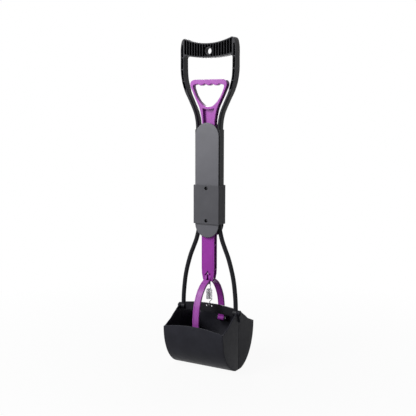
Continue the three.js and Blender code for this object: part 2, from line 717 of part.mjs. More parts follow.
function jaw() {
  const bowl = (reach, depth) => y => bowlHeight - depth * Math.sqrt(Math.max(0, 1 - (y / reach) ** 2));
  const bowlPoints = (reach, depth, floor, top) => {
    const land = reach * Math.sqrt(Math.max(0, 1 - ((bowlHeight - floor) / depth) ** 2));
    const from = Math.asin(land / reach);
    const points = [[seat / 2, floor]];
    for (let k = 0; k <= curveSteps; k += 1) {
      const y = reach * Math.sin(from + (Math.PI / 2 - from) * k / curveSteps);
      points.push([y, Math.max(floor, bowl(reach, depth)(y))]);
    }
    return [...points, [reach, top]];
  };
  const earSide = [
    [jawReach - 2 * jawWall, rimHeight],
    ...scaled(jawEdgeShares, jawReach, rimHeight, pivotHeight + earRadius - rimHeight),
    [seat / 2, pivotHeight],
  ];
  const wall = sidePlate([...bowlPoints(jawReach, bowlDepth, 0, rimHeight), ...earSide],
    -jawWidth / 2, jawWidth / 2);
  const crownTop = rimHeight + rimCrown;
  const shell = sidePlate([...bowlPoints(jawReach, bowlDepth, 0, crownTop), [seat / 2, crownTop]],
    -jawWidth / 2, jawWidth / 2);
  const hollowPoints = bowlPoints(jawReach - jawWall, bowlDepth - jawWall, jawWall, gripTop);
  const hollow = sidePlate([...hollowPoints, [-overrun, gripTop], [-overrun, jawWall]], -jawInner, jawInner);
  const rim = x => rimHeight + rimCrown * (1 - (2 * x / jawWidth) ** 2);
  const aboveRim = frontPlate([
    [-jawWidth / 2, crownTop + overrun], ...alongGrip(-jawWidth / 2, jawWidth / 2, rim),
    [jawWidth / 2, crownTop + overrun],
  ], jawReach - 2 * jawWall, jawReach + overrun);
  const sides = wall.subtract(bar(jawInner, -overrun, jawReach - jawWall, jawWall, gripTop));
  const bowlShell = cut(shell, hollow, aboveRim,
    bar(jawWidth, -overrun, jawReach - 2 * jawWall, rimHeight, gripTop));
  const body = cut(join(sides.subtract(hollow), bowlShell),
    pinAlongX(earClear, jawInner - overrun, earInner, 0, pivotHeight, roundSides));

  const strapOutline = [
    [-earRadius, pivotHeight], [seat, pivotHeight - 3 * earRadius], [2 * earRadius, pivotHeight - 2 * earRadius],
    [earRadius, pivotHeight],
  ];
  const strap = cut(
    join(sidePlate(strapOutline, jawWidth / 2 - seat, earOuter),
      pinAlongX(earRadius, jawWidth / 2 - seat, earOuter, 0, pivotHeight, roundSides)),
    pinAlongX(earClear, jawInner, earInner, 0, pivotHeight, roundSides),
    block(jawInner, earInner, -jawReach, seat / 2, 0, gripTop));
  const innerEar = pinAlongX(earRadius, -jawWidth / 2, -jawInner, 0, pivotHeight, roundSides);

  const clevisInner = linkHalf + running;
  const clevisOutline = [
    [linkReach, jawPinHeight - jawEyeRadius], [jawReach - jawWall / 2, jawPinHeight - 2 * jawEyeRadius],
    [jawReach - jawWall / 2, jawPinHeight + jawEyeRadius / 2], [linkReach, jawPinHeight + jawEyeRadius],
  ];
  const clevis = onBothSides(join(
    sidePlate(clevisOutline, clevisInner, clevisInner + clevisWall),
    pinAlongX(jawEyeRadius, clevisInner, clevisInner + clevisWall, linkReach, jawPinHeight, roundSides)));
  return cut(join(body, strap, innerEar, clevis),
    pinAlongX(hingeBore, -jawWidth, jawWidth, 0, pivotHeight),
    pinAlongX(jawPinRadius + seat, -linkWidth, linkWidth, linkReach, jawPinHeight));
}

// A domed hinge pin from inside the leg's eye to outside the jaw's outer ear
function hingePin() {
  const inner = legEyeOuter - legEyeWidth - seat;
  const headFrom = earOuter + seat;
  return join(
    pinAlongX(hingeRadius, inner, headFrom + hingeHeadHeight / 2, 0, pivotHeight),
    pinAlongX(hingeHeadRadius, headFrom, headFrom + hingeHeadHeight, 0, pivotHeight, roundSides));
}

// Return spring: one wire that hooks through the cross plate, coils up and hooks through the tongue
function springPath() {
  const lowerHook = hookHoleHeight + hookRadius;
  const upperHook = tongueHoleHeight - hookRadius;
  const coilLength = coilTurns * coilPitch;
  const coilBottom = (lowerHook + upperHook - coilLength) / 2;
  const points = [];
  const hookTurn = 1.5 * Math.PI;
  const hookSteps = stepsPerTurn;
  for (let k = 0; k <= hookSteps; k += 1) {
    const angle = -Math.PI + hookTurn * k / hookSteps;
    points.push(new THREE.Vector3(0, hookRadius * Math.cos(angle), lowerHook + hookRadius * Math.sin(angle)));
  }
  const turns = coilTurns * stepsPerTurn;
  for (let k = 0; k <= turns; k += 1) {
    const angle = 2 * Math.PI * k / stepsPerTurn;
    points.push(new THREE.Vector3(
      coilRadius * Math.cos(angle), coilRadius * Math.sin(angle), coilBottom + coilLength * k / turns));
  }
  for (let k = 0; k <= hookSteps; k += 1) {
    const angle = -Math.PI / 2 + hookTurn * k / hookSteps;
    points.push(new THREE.Vector3(hookRadius * Math.cos(angle), 0, upperHook + hookRadius * Math.sin(angle)));
  }
  return points;
}

function selfGap(points) {
  let least = Infinity;
  const reach = Math.ceil(stepsPerTurn / 2);
  for (let i = 0; i < points.length; i += 1) {
    for (let j = i + reach; j < points.length; j += 1) {
      least = Math.min(least, points[i].distanceTo(points[j]) - 2 * wireRadius);
    }
  }
  return least;
}

function returnSpring() {
  const points = springPath();
  console.log(`spring: least gap to itself ${selfGap(points).toFixed(2)} mm`);
  const rings = [];
  let normal = new THREE.Vector3(1, 0, 0);
  points.forEach((point, k) => {
    const ahead = points[Math.min(k + 1, points.length - 1)];
    const behind = points[Math.max(k - 1, 0)];
    const way = ahead.clone().sub(behind).normalize();
    normal = normal.clone().addScaledVector(way, -normal.dot(way)).normalize();
    const binormal = way.clone().cross(normal);
    rings.push(Array.from({ length: wireSides }, (_, side) => {
      const turn = 2 * Math.PI * side / wireSides;
      return point.clone()
        .addScaledVector(normal, wireRadius * Math.cos(turn))
        .addScaledVector(binormal, wireRadius * Math.sin(turn));
    }));
  });
  return loft(rings);
}

// Each moving body is a group of its own
const frame = new THREE.Group();
frame.add(
  piece('handle_frame', handleFrame(), charcoal),
  piece('lower_frame', lowerFrame(), charcoal),
  piece('front_cover', frontCover(), slate),
  piece('rear_cover', rearCover(), slate),
  piece('collar_front', collarFront(), slate),
  piece('collar_rear', collarRear(), slate));

const collarScrewLength = collarDepth - recessDepth - screwHeadHeight - recessFloor - seat;
collarScrewHeights.forEach((height, k) => {
  const part = piece(['collar_screw_lower', 'collar_screw_upper'][k],
    screw(collarScrewLength, screwHeadRadius, screwHeadHeight), steel);
  part.position.set(0, recessBottom - seat, height);
  frame.add(part);
});

const coverScrewLength = casingDepth - coverThickness - seat;
coverScrewHeights.forEach((height, row) => {
  [1, -1].forEach(side => {
    const level = ['lower', 'middle', 'upper'][row];
    const part = piece(`cover_screw_${level}_${side > 0 ? 'right' : 'left'}`,
      screw(coverScrewLength, screwHeadRadius, screwHeadHeight), steel);
    part.rotation.z = Math.PI;
    part.position.set(side * coverScrewSpread / 2, casingDepth / 2 + seat, height);
    frame.add(part);
  });
});

['right', 'left'].forEach((side, k) => {
  const part = piece(`hinge_pin_${side}`, hingePin(), charcoal);
  part.rotation.z = Math.PI * k;
  frame.add(part);
});

const slider = new THREE.Group();
slider.add(
  piece('trigger_handle', triggerHandle(), violet),
  piece('pull_rod', pullRod(), violet),
  piece('link_pin', pinAlongX(linkPinRadius, -forkInner - cheek, forkInner + cheek, 0, linkPinHeight), steel),
  piece('return_spring', returnSpring(), steel));
lapScrewHeights.forEach((height, k) => {
  const part = piece(['rod_screw_lower', 'rod_screw_upper'][k],
    screw(lapScrewLength, lapHeadRadius, lapHeadHeight), steel);
  part.position.set(0, -rodDepth / 2 + lapHeadHeight, height);
  slider.add(part);
});

const model = new THREE.Group();
model.add(frame, slider);
const jawPinEnd = linkHalf + running + clevisWall;
['rear', 'front'].forEach((side, k) => {
  const half = new THREE.Group();
  half.rotation.z = Math.PI * k;
  half.add(
    piece(`${side}_jaw`, jaw(), charcoal),
    piece(`${side}_link`, link(), violet),
    piece(`${side}_jaw_pin`, pinAlongX(jawPinRadius, -jawPinEnd, jawPinEnd, linkReach, jawPinHeight), steel));
  model.add(half);
});

export default model;
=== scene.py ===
import math

import bpy
from mathutils import Matrix, Vector


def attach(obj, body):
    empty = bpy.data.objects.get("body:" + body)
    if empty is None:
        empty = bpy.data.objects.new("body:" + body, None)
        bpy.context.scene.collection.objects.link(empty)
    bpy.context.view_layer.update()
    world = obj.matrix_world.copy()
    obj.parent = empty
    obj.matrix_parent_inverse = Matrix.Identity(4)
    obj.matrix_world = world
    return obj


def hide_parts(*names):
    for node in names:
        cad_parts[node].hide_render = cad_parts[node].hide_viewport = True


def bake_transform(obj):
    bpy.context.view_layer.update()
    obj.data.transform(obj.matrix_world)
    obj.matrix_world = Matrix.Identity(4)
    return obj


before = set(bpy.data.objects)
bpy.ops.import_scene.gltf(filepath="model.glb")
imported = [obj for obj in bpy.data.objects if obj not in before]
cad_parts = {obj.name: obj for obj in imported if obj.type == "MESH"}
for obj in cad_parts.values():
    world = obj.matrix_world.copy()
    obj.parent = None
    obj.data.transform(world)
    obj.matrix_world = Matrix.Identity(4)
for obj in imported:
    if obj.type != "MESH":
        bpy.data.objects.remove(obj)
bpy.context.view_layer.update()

MM = 0.001
SEAT = 0.3      # the gap between pieces that sit on each other
OVERRUN = 2     # how far a cutter passes the face that it opens
SHARP_ANGLE = math.radians(38)

# Heights
PIVOT, CASING_BOTTOM, CASING_TOP, GRIP_TOP = 110, 252, 469, 625
COLLAR_BOTTOM, COLLAR_TOP = 278, 352
LAP_BOTTOM, LAP_TOP = 376, 408
TRIGGER_TOP = 549
LINK_PIN, JAW_PIN = 172, 81
RIM = 83
COLLAR_SCREWS = (284, 346)
COVER_SCREWS = (270, 368, 442)
LAP_SCREWS = (384, 400)
SPRING_HOLE, SPRING_TONGUE = 118.8, 162

# Radii
SCREW_BORE, HINGE_BORE, LINK_BORE, JAW_PIN_BORE = 1.8, 2.3, 4.2, 2.05
EAR_RADIUS, EAR_CLEARANCE = 6, 6.6

# The links: their reach to the jaws' pins, half their width, and the clevis cheeks beside them
LINK_REACH, LINK_HALF, CLEVIS_INNER, CLEVIS_OUTER = 49, 6.75, 7.15, 9.15

# The jaws: half their width, their reach and wall, and the outer face of their outer ears
HALF_JAW, JAW_REACH, JAW_WALL, EAR_OUTER = 65, 62.5, 2.2, 68


# ---------------------------------------------------------------- working on a piece

def choose(*pieces):
    bpy.ops.object.select_all(action="DESELECT")
    for piece in pieces:
        piece.select_set(True)
    bpy.context.view_layer.objects.active = pieces[0]


def use_modifier(piece, kind, **settings):
    modifier = piece.modifiers.new(kind, kind)
    for key, value in settings.items():
        setattr(modifier, key, value)
    choose(piece)
    bpy.ops.object.modifier_apply(modifier=modifier.name)
    return piece


def close_up(piece, distance=0.01):
    """Merges doubles and turns the faces outwards."""
    choose(piece)
    bpy.ops.object.mode_set(mode="EDIT")
    bpy.ops.mesh.select_all(action="SELECT")
    bpy.ops.mesh.remove_doubles(threshold=distance * MM)
    bpy.ops.mesh.normals_make_consistent(inside=False)
    bpy.ops.object.mode_set(mode="OBJECT")
    return piece


def cut(piece, *tools):
    """Takes the tools out of the piece, one after the other."""
    for tool in tools:
        use_modifier(piece, "BOOLEAN", object=tool, operation="DIFFERENCE", solver="EXACT")
        bpy.data.objects.remove(tool)
    return piece


def join(name, *pieces):
    choose(*pieces)
    bpy.ops.object.join()
    pieces[0].name = name
    pieces[0].data.name = name
    return pieces[0]


def copied(piece, name, *moves):
    """A copy with its own mesh, moved by each matrix in turn."""
    twin = bpy.data.objects.new(name, piece.data.copy())
    bpy.context.scene.collection.objects.link(twin)
    for move in moves:
        twin.data.transform(move)
        if move.determinant() < 0:
            twin.data.flip_normals()
    return twin


def moved(piece, x=0, y=0, z=0):
    piece.data.transform(Matrix.Translation(Vector((x, y, z)) * MM))
    return piece


FLIP = Matrix.Scale(-1, 4, (1, 0, 0))
HALF_TURN = Matrix.Rotation(math.pi, 4, "Z")


def on_both_sides(piece):
    return [piece, copied(piece, piece.name + "_left", FLIP)]


# ---------------------------------------------------------------- points in a plane

def smooth(points, steps=6):
    """A curve through points, with the given number of steps from each to the next."""
    made = []
    last = len(points) - 1
    for k in range(last):
        before, here = points[max(k - 1, 0)], points[k]
        there, after = points[k + 1], points[min(k + 2, last)]
        for step in range(steps):
            t = step / steps
            made.append(tuple(
                0.5 * (2 * b + (c - a) * t + (2 * a - 5 * b + 4 * c - d) * t * t
                       + (3 * b - a - 3 * c + d) * t ** 3)
                for a, b, c, d in zip(before, here, there, after)))
    return made + [tuple(points[-1])]


def scaled(shares, width, base, height):
    return [(a * width, base + b * height) for a, b in shares]


def flipped(points):
    """The same points on the left, in the order that keeps a closed outline running."""
    return [(-a, b) for a, b in reversed(points)]


def circle(a, b, radius, sides=32):
    turns = [2 * math.pi * k / sides for k in range(sides)]
    return [(a + radius * math.cos(turn), b + radius * math.sin(turn)) for turn in turns]


def arc(a, b, radius, start, end, steps):
    turns = [start + (end - start) * k / steps for k in range(steps + 1)]
    return [(a + radius * math.cos(turn), b + radius * math.sin(turn)) for turn in turns]


def rounded(points, radius, steps=3):
    """A closed outline with its corners rounded off."""
    made = []
    for k, point in enumerate(points):
        here = Vector(point)
        back, ahead = Vector(points[k - 1]) - here, Vector(points[(k + 1) % len(points)]) - here
        reach = min(radius, 0.45 * back.length, 0.45 * ahead.length)
        start, end = here + back.normalized() * reach, here + ahead.normalized() * reach
        for step in range(steps + 1):
            t = step / steps
            made.append(tuple(start * (1 - t) ** 2 + here * 2 * t * (1 - t) + end * t * t))
    return made


def area(points):
    return sum(a * d - b * c for (a, b), (c, d) in zip(points, points[1:] + points[:1])) / 2


def turning(points, way):
    """The closed outline, turning anticlockwise for way 1 or clockwise for way -1."""
    return list(points) if area(list(points)) * way > 0 else list(reversed(points))


def width_at(points, height):
    """Where a row of points with rising heights stands at a height."""
    k = next((k for k, point in enumerate(points) if k and point[1] >= height), len(points) - 1)
    (x0, z0), (x1, z1) = points[k - 1], points[k]
    return x0 + (x1 - x0) * (height - z0) / (z1 - z0)


# ---------------------------------------------------------------- forms

# A plate's plane: "front" is X and Z, "side" is Y and Z, "top" is X and Y
PLANES = {
    "front": (Matrix(((1, 0, 0, 0), (0, 0, -1, 0), (0, 1, 0, 0), (0, 0, 0, 1))), Vector((0, 1, 0))),
    "side": (Matrix(((0, 0, 1, 0), (1, 0, 0, 0), (0, 1, 0, 0), (0, 0, 0, 1))), Vector((1, 0, 0))),
    "top": (Matrix.Identity(4), Vector((0, 0, 1))),
}


def plate(name, outline, low, high, plane="front", edge=0.5, holes=(), steps=2, inset=0.0):
    """A flat outline run from low to high across its plane, with its edges rounded."""
    curve = bpy.data.curves.new(name, "CURVE")
    curve.dimensions = "2D"
    curve.fill_mode = "BOTH"
    for points in [turning(outline, 1), *[turning(hole, -1) for hole in holes]]:
        spline = curve.splines.new("POLY")
        spline.points.add(len(points) - 1)
        for place, (a, b) in zip(spline.points, points):
            place.co = (a * MM, b * MM, 0, 1)
        spline.use_cyclic_u = True
    curve.extrude = ((high - low) / 2 - edge) * MM
    curve.bevel_depth = edge * MM
    curve.bevel_resolution = steps
    curve.offset = -(edge + inset) * MM
    piece = bpy.data.objects.new(name, curve)
    bpy.context.scene.collection.objects.link(piece)
    choose(piece)
    bpy.ops.object.convert(target="MESH")
    piece = bpy.context.view_layer.objects.active
    turn, across = PLANES[plane]
    piece.data.transform(Matrix.Translation(across * (low + high) / 2 * MM) @ turn)
    return close_up(piece)


def block(name, x0, x1, y0, y1, z0, z1):
    bpy.ops.mesh.primitive_cube_add(size=1)
    piece = bpy.context.view_layer.objects.active
    piece.name = name
    size = Matrix.Diagonal(((x1 - x0) * MM, (y1 - y0) * MM, (z1 - z0) * MM, 1))
    place = Matrix.Translation(Vector((x0 + x1, y0 + y1, z0 + z1)) / 2 * MM)
    piece.data.transform(place @ size)
    return piece


def pin(name, radius, low, high, a, b, axis="X", sides=32):
    """A round pin along X at (y, z) or along Y at (x, z)."""
    plane = "side" if axis == "X" else "front"
    return plate(name, circle(a, b, radius, sides), low, high, plane, edge=0)


def tube(name, points, radius, rings=5):
    """A round bar through points in millimetres, closed at both ends."""
    curve = bpy.data.curves.new(name, "CURVE")
    curve.dimensions = "3D"
    spline = curve.splines.new("POLY")
    spline.points.add(len(points) - 1)
    for place, point in zip(spline.points, points):
        place.co = (*[value * MM for value in point], 1)
    curve.bevel_depth = radius * MM
    curve.bevel_resolution = rings
    curve.use_fill_caps = True
    piece = bpy.data.objects.new(name, curve)
    bpy.context.scene.collection.objects.link(piece)
    choose(piece)
    bpy.ops.object.convert(target="MESH")
    return close_up(bpy.context.view_layer.objects.active, 0.001)


def squared(value, squareness):
    """A sine or cosine pushed outwards, so that a round section turns squarer."""
    return math.copysign(abs(value) ** (1 - squareness), value)


def moulded_bar(name, path, sections, sides=28):
    """A bar along (x, z) points. A section is (half width, half depth, squareness)."""
    points, faces = [], []
    for k, (x, z) in enumerate(path):
        (x0, z0), (x1, z1) = path[max(k - 1, 0)], path[min(k + 1, len(path) - 1)]
        length = math.hypot(x1 - x0, z1 - z0)
        out_x, out_z = (z1 - z0) / length, -(x1 - x0) / length
        half_width, half_depth, squareness = sections[k]
        for side in range(sides):
            turn = 2 * math.pi * side / sides
            out = half_width * squared(math.cos(turn), squareness)
            points.append(Vector((x + out * out_x, half_depth * squared(math.sin(turn), squareness),
                                  z + out * out_z)) * MM)
    for ring in range(len(path) - 1):
        for side in range(sides):
            a, b = ring * sides + side, ring * sides + (side + 1) % sides
            faces.append((a, b, b + sides, a + sides))
    last = (len(path) - 1) * sides
    faces += [tuple(reversed(range(sides))), tuple(range(last, last + sides))]
    mesh = bpy.data.meshes.new(name)
    mesh.from_pydata(points, [], faces)
    piece = bpy.data.objects.new(name, mesh)
    bpy.context.scene.collection.objects.link(piece)
    return close_up(piece, 0.001)


def turned(name, profile, sides=32):
    """A profile of (radius, place along Y) turned about the Y axis."""
    mesh = bpy.data.meshes.new(name)
    mesh.from_pydata([(radius * MM, y * MM, 0) for radius, y in profile],
                     [(k, k + 1) for k in range(len(profile) - 1)], [])
    piece = bpy.data.objects.new(name, mesh)
    bpy.context.scene.collection.objects.link(piece)
    use_modifier(piece, "SCREW", axis="Y", angle=2 * math.pi, steps=sides, render_steps=sides,
                 use_merge_vertices=True, merge_threshold=0.001 * MM)
    return close_up(piece, 0.001)


def dome(name, x, y, z, width, depth, height):
    """A low round bump with these half sizes."""
    half_circle = [(math.sin(math.pi * k / 12), -math.cos(math.pi * k / 12)) for k in range(13)]
    piece = turned(name, half_circle, 24)
    piece.data.transform(Matrix.Diagonal((width, depth, height, 1)) @ Matrix.Rotation(math.pi / 2, 4, "X"))
    return moved(piece, x, y, z)


def from_cad(name, node, above=None, below=None):
    """A merged copy of a node's mesh, cut off at a height."""
    piece = copied(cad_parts[node], name)
    close_up(piece)
    for height, outer in ((above, False), (below, True)):
        if height is not None:
            bpy.ops.object.mode_set(mode="EDIT")
            bpy.ops.mesh.select_all(action="SELECT")
            bpy.ops.mesh.bisect(plane_co=(0, 0, height * MM), plane_no=(0, 0, 1), use_fill=True,
                                clear_inner=not outer, clear_outer=outer)
            bpy.ops.object.mode_set(mode="OBJECT")
    return piece


def finish(piece, material, body, *nodes, shade=None):
    """Shades the piece, gives it its material, or a paler or darker copy of it that paints in light or shade,
    and sets it on its body.
    """
    choose(piece)
    bpy.ops.object.shade_smooth_by_angle(angle=SHARP_ANGLE)
    use_modifier(piece, "WEIGHTED_NORMAL", mode="FACE_AREA_WITH_ANGLE", weight=80, keep_sharp=True)
    piece.data.materials.clear()
    piece.data.materials.append(shade or MATERIALS[material])
    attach(piece, body)
    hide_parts(*nodes)
    return piece


# ---------------------------------------------------------------- materials

def new_material(name):
    """A material with its node tree and its shader."""
    material = bpy.data.materials.new(name)
    material.use_nodes = True
    return material, material.node_tree, material.node_tree.nodes["Principled BSDF"]


def noise(tree, scale, detail, stretch=(1, 1, 1)):
    """Noise in the object's own coordinates. A stretch below 1 draws it out along that axis."""
    place = tree.nodes.new("ShaderNodeTexCoord")
    mapping = tree.nodes.new("ShaderNodeMapping")
    mapping.inputs["Scale"].default_value = stretch
    texture = tree.nodes.new("ShaderNodeTexNoise")
    texture.inputs["Scale"].default_value = scale
    texture.inputs["Detail"].default_value = detail
    tree.links.new(place.outputs["Object"], mapping.inputs["Vector"])
    tree.links.new(mapping.outputs["Vector"], texture.inputs["Vector"])
    return texture.outputs["Fac"]


def ramp(tree, value, ends, low_colour, high_colour):
    """Goes from one colour to the other while the value passes between the two ends."""
    node = tree.nodes.new("ShaderNodeValToRGB")
    for element, end, colour in zip(node.color_ramp.elements, ends, (low_colour, high_colour)):
        element.position = end
        element.color = (*colour, 1)
    tree.links.new(value, node.inputs["Fac"])
    return node.outputs["Color"]


def bump(tree, height, strength, distance, below=None):
    """A bump with a depth in millimetres, laid over another one's normal if that is given."""
    node = tree.nodes.new("ShaderNodeBump")
    node.inputs["Strength"].default_value = strength
    node.inputs["Distance"].default_value = distance * MM
    tree.links.new(height, node.inputs["Height"])
    if below is not None:
        tree.links.new(below, node.inputs["Normal"])
    return node.outputs["Normal"]


def grey(value):
    return (value, value, value)


def moulding(name, colour, roughness, grain, mottle, scuff, specular):
    """Moulded plastic: soft mottling, pale streaks up the tool, a fine grain and a shallow wave."""
    material, tree, shader = new_material(name)
    tint = ramp(tree, noise(tree, scale=38, detail=3), (0.3, 0.7),
                [c * (1 - mottle) for c in colour], [c * (1 + mottle) for c in colour])
    streaks = ramp(tree, noise(tree, scale=210, detail=5, stretch=(1, 1, 0.12)), (0.62, 0.78),
                   grey(0), grey(scuff))
    worn = tree.nodes.new("ShaderNodeMix")
    worn.data_type = "RGBA"
    worn.inputs["B"].default_value = (*[min(1, c * 1.6 + 0.03) for c in colour], 1)
    tree.links.new(streaks, worn.inputs["Factor"])
    tree.links.new(tint, worn.inputs["A"])
    tree.links.new(worn.outputs["Result"], shader.inputs["Base Color"])

    sheen = ramp(tree, noise(tree, scale=120, detail=4), (0.25, 0.75),
                 grey(roughness - 0.06), grey(roughness + 0.07))
    tree.links.new(sheen, shader.inputs["Roughness"])
    shader.inputs["Specular IOR Level"].default_value = specular
    fine = bump(tree, noise(tree, scale=2600, detail=2), strength=grain, distance=0.06)
    wave = bump(tree, noise(tree, scale=95, detail=2), strength=grain * 0.6, distance=0.12, below=fine)
    tree.links.new(wave, shader.inputs["Normal"])
    return material


def plated(name, colour, roughness, brushed):
    """Plated steel with faint draw marks along Y, the longer the lower brushed is."""
    material, tree, shader = new_material(name)
    shader.inputs["Metallic"].default_value = 1
    marks = noise(tree, scale=900, detail=4, stretch=(1, brushed, 1))
    for socket, low, high in (
            ("Base Color", [c * 0.82 for c in colour], [min(1, c * 1.1) for c in colour]),
            ("Roughness", grey(roughness - 0.07), grey(roughness + 0.1))):
        tree.links.new(ramp(tree, marks, (0.3, 0.7), low, high), shader.inputs[socket])
    tree.links.new(bump(tree, marks, strength=0.15, distance=0.03), shader.inputs["Normal"])
    return material


MATERIALS = {
    "charcoal_plastic": moulding("charcoal plastic", (0.0148, 0.015, 0.0185), roughness=0.36, grain=0.14,
                                 mottle=0.12, scuff=0.10, specular=0.11),
    "slate_plastic": moulding("slate plastic", (0.108, 0.108, 0.122), roughness=0.38, grain=0.14,
                              mottle=0.06, scuff=0.10, specular=0.30),
    "violet_plastic": moulding("violet plastic", (0.33, 0.046, 0.37), roughness=0.34, grain=0.13,
                               mottle=0.07, scuff=0.08, specular=0.10),
    "screw_steel": plated("screw steel", (0.50, 0.50, 0.52), roughness=0.30, brushed=0.1),
    "spring_steel": plated("spring steel", (0.36, 0.36, 0.38), roughness=0.20, brushed=1.0),
}

# Copies within a slot that paint light and shade into their colour: paler jaws and a paler, glossier trigger
# and front link as painted light and sheen, and a darker collar with dark screws as painted shade
# A paler, less glossy charcoal for the jaws: painted light
JAW_PAINTED_LIGHT_CHARCOAL = moulding("jaw charcoal with painted light", (0.028, 0.0283, 0.036), roughness=0.40, grain=0.14,
                        mottle=0.12, scuff=0.10, specular=0.06)
# A darker, less glossy slate for the collar: painted shade
COLLAR_PAINTED_SHADE_SLATE = moulding("collar slate with painted shade", (0.094, 0.094, 0.104), roughness=0.42, grain=0.14,
                        mottle=0.06, scuff=0.10, specular=0.08)
# A paler, glossier violet for the trigger and the front link: painted light and sheen
TRIGGER_PAINTED_SHEEN_VIOLET = moulding("trigger violet with painted sheen", (0.34, 0.07, 0.38), roughness=0.34, grain=0.12,
                          mottle=0.07, scuff=0.08, specular=0.22)
# Near-black steel for the collar's screws: painted shade for the shadow in their deep recesses
SCREW_PAINTED_SHADE_STEEL = plated("screw steel with painted shade", (0.045, 0.045, 0.05), roughness=0.42, brushed=0.1)


# ---------------------------------------------------------------- grip frame

HALF_GRIP, GRIP_DEPTH, HANDLE_RISE = 59, 16, 156
POCKETS, RIB_PITCH, RIB_WIDTH, GRIP_RIM, ARM_RIM = 18, 5.7, 1.4, 2.2, 1.8
HOLE_RADIUS, HOLE_HEIGHT, BOSS_RADIUS, BOSS_DEPTH = 5.75, 601, 7.85, 9.2
CREST_SAG, UNDERSIDE_DROP, UNDERSIDE_BOW = 10, 36.4, 4.6
WEB_HALF, WEB_INSET = 1, 0.8
HANDLE_INSIDE_TOP = 456.3       # the frame's own mesh is kept below it, inside the casing

HOOP_OUTER = smooth(scaled([
    (0.905, 0.431), (0.945, 0.485), (0.98, 0.557), (1, 0.635), (1, 0.75),
    (1, 0.86), (0.99, 0.91), (0.965, 0.96), (0.92, 0.99), (0.85, 1),
], HALF_GRIP, CASING_TOP, HANDLE_RISE))
HOOP_INNER = smooth(scaled([
    (0.789, 0.431), (0.853, 0.52), (0.876, 0.615), (0.881, 0.7), (0.881, 0.74),
], HALF_GRIP, CASING_TOP, HANDLE_RISE))
OPENING_CORNER = smooth(scaled([
    (0.881, 0.74), (0.88, 0.77), (0.85, 0.788), (0.79, 0.796),
], HALF_GRIP, CASING_TOP, HANDLE_RISE), 4)[1:]
HORN = HOOP_OUTER[-1][0]
OPENING_EDGE = OPENING_CORNER[-1][0]


def grip_crest(x):
    return GRIP_TOP - CREST_SAG * (1 - (x / HORN) ** 2)


def grip_underside(x):
    return GRIP_TOP - UNDERSIDE_DROP + UNDERSIDE_BOW * (x / OPENING_EDGE) ** 2


def along(start, end, height, steps=24):
    """Points with even steps across and the height that the function gives."""
    across = [start + (end - start) * k / steps for k in range(steps + 1)]
    return [(x, height(x)) for x in across]


def grip_pocket(k):
    """The slot between two of the grip's ribs, counted from the left."""
    middle = (k - (POCKETS - 1) / 2) * RIB_PITCH
    half = (RIB_PITCH - RIB_WIDTH) / 2
    x0, x1 = middle - half, middle + half
    return rounded([(x0, grip_underside(x0) + GRIP_RIM), (x1, grip_underside(x1) + GRIP_RIM),
                    (x1, grip_crest(x1) - GRIP_RIM), (x0, grip_crest(x0) - GRIP_RIM)], 1.0)


def arm_pocket(start, end, steps=6):
    """A pocket in the right arm between two shares of the handle's rise."""
    outer, inner = [], []
    for k in range(steps + 1):
        z = CASING_TOP + HANDLE_RISE * (start + (end - start) * k / steps)
        outer.append((width_at(HOOP_OUTER, z) - ARM_RIM, z))
        inner.append((width_at(HOOP_INNER, min(z, HOOP_INNER[-1][1])) + ARM_RIM, z))
    return outer + inner[::-1]


ARM_PATH = scaled([
    (0.395, -0.18), (0.395, -0.05), (0.424, 0.045), (0.497, 0.14), (0.682, 0.285), (0.765, 0.346),
    (0.828, 0.405), (0.868, 0.46),
], HALF_GRIP, CASING_TOP, HANDLE_RISE)
ARM_HALF_WIDTH, ARM_HALF_DEPTH = 3.15, 7.9
ARM_SECTIONS = [(ARM_HALF_WIDTH, ARM_HALF_DEPTH, squareness)
                for squareness in (0.45, 0.45, 0.45, 0.45, 0.5, 0.65, 0.8, 0.87)]
ARM_POCKETS = ((0.395, 0.487), (0.5, 0.628), (0.641, 0.769), (0.782, 0.925))

# The hoop ends in a foot round the arm, and thins towards it by a share of its depth at each height
FOOT_TIP = (45.6, 524.8)
FOOT_TAPER = [(0.9, 520), (0.96, 530), (0.985, 536), (1, 550), (1, 640)]


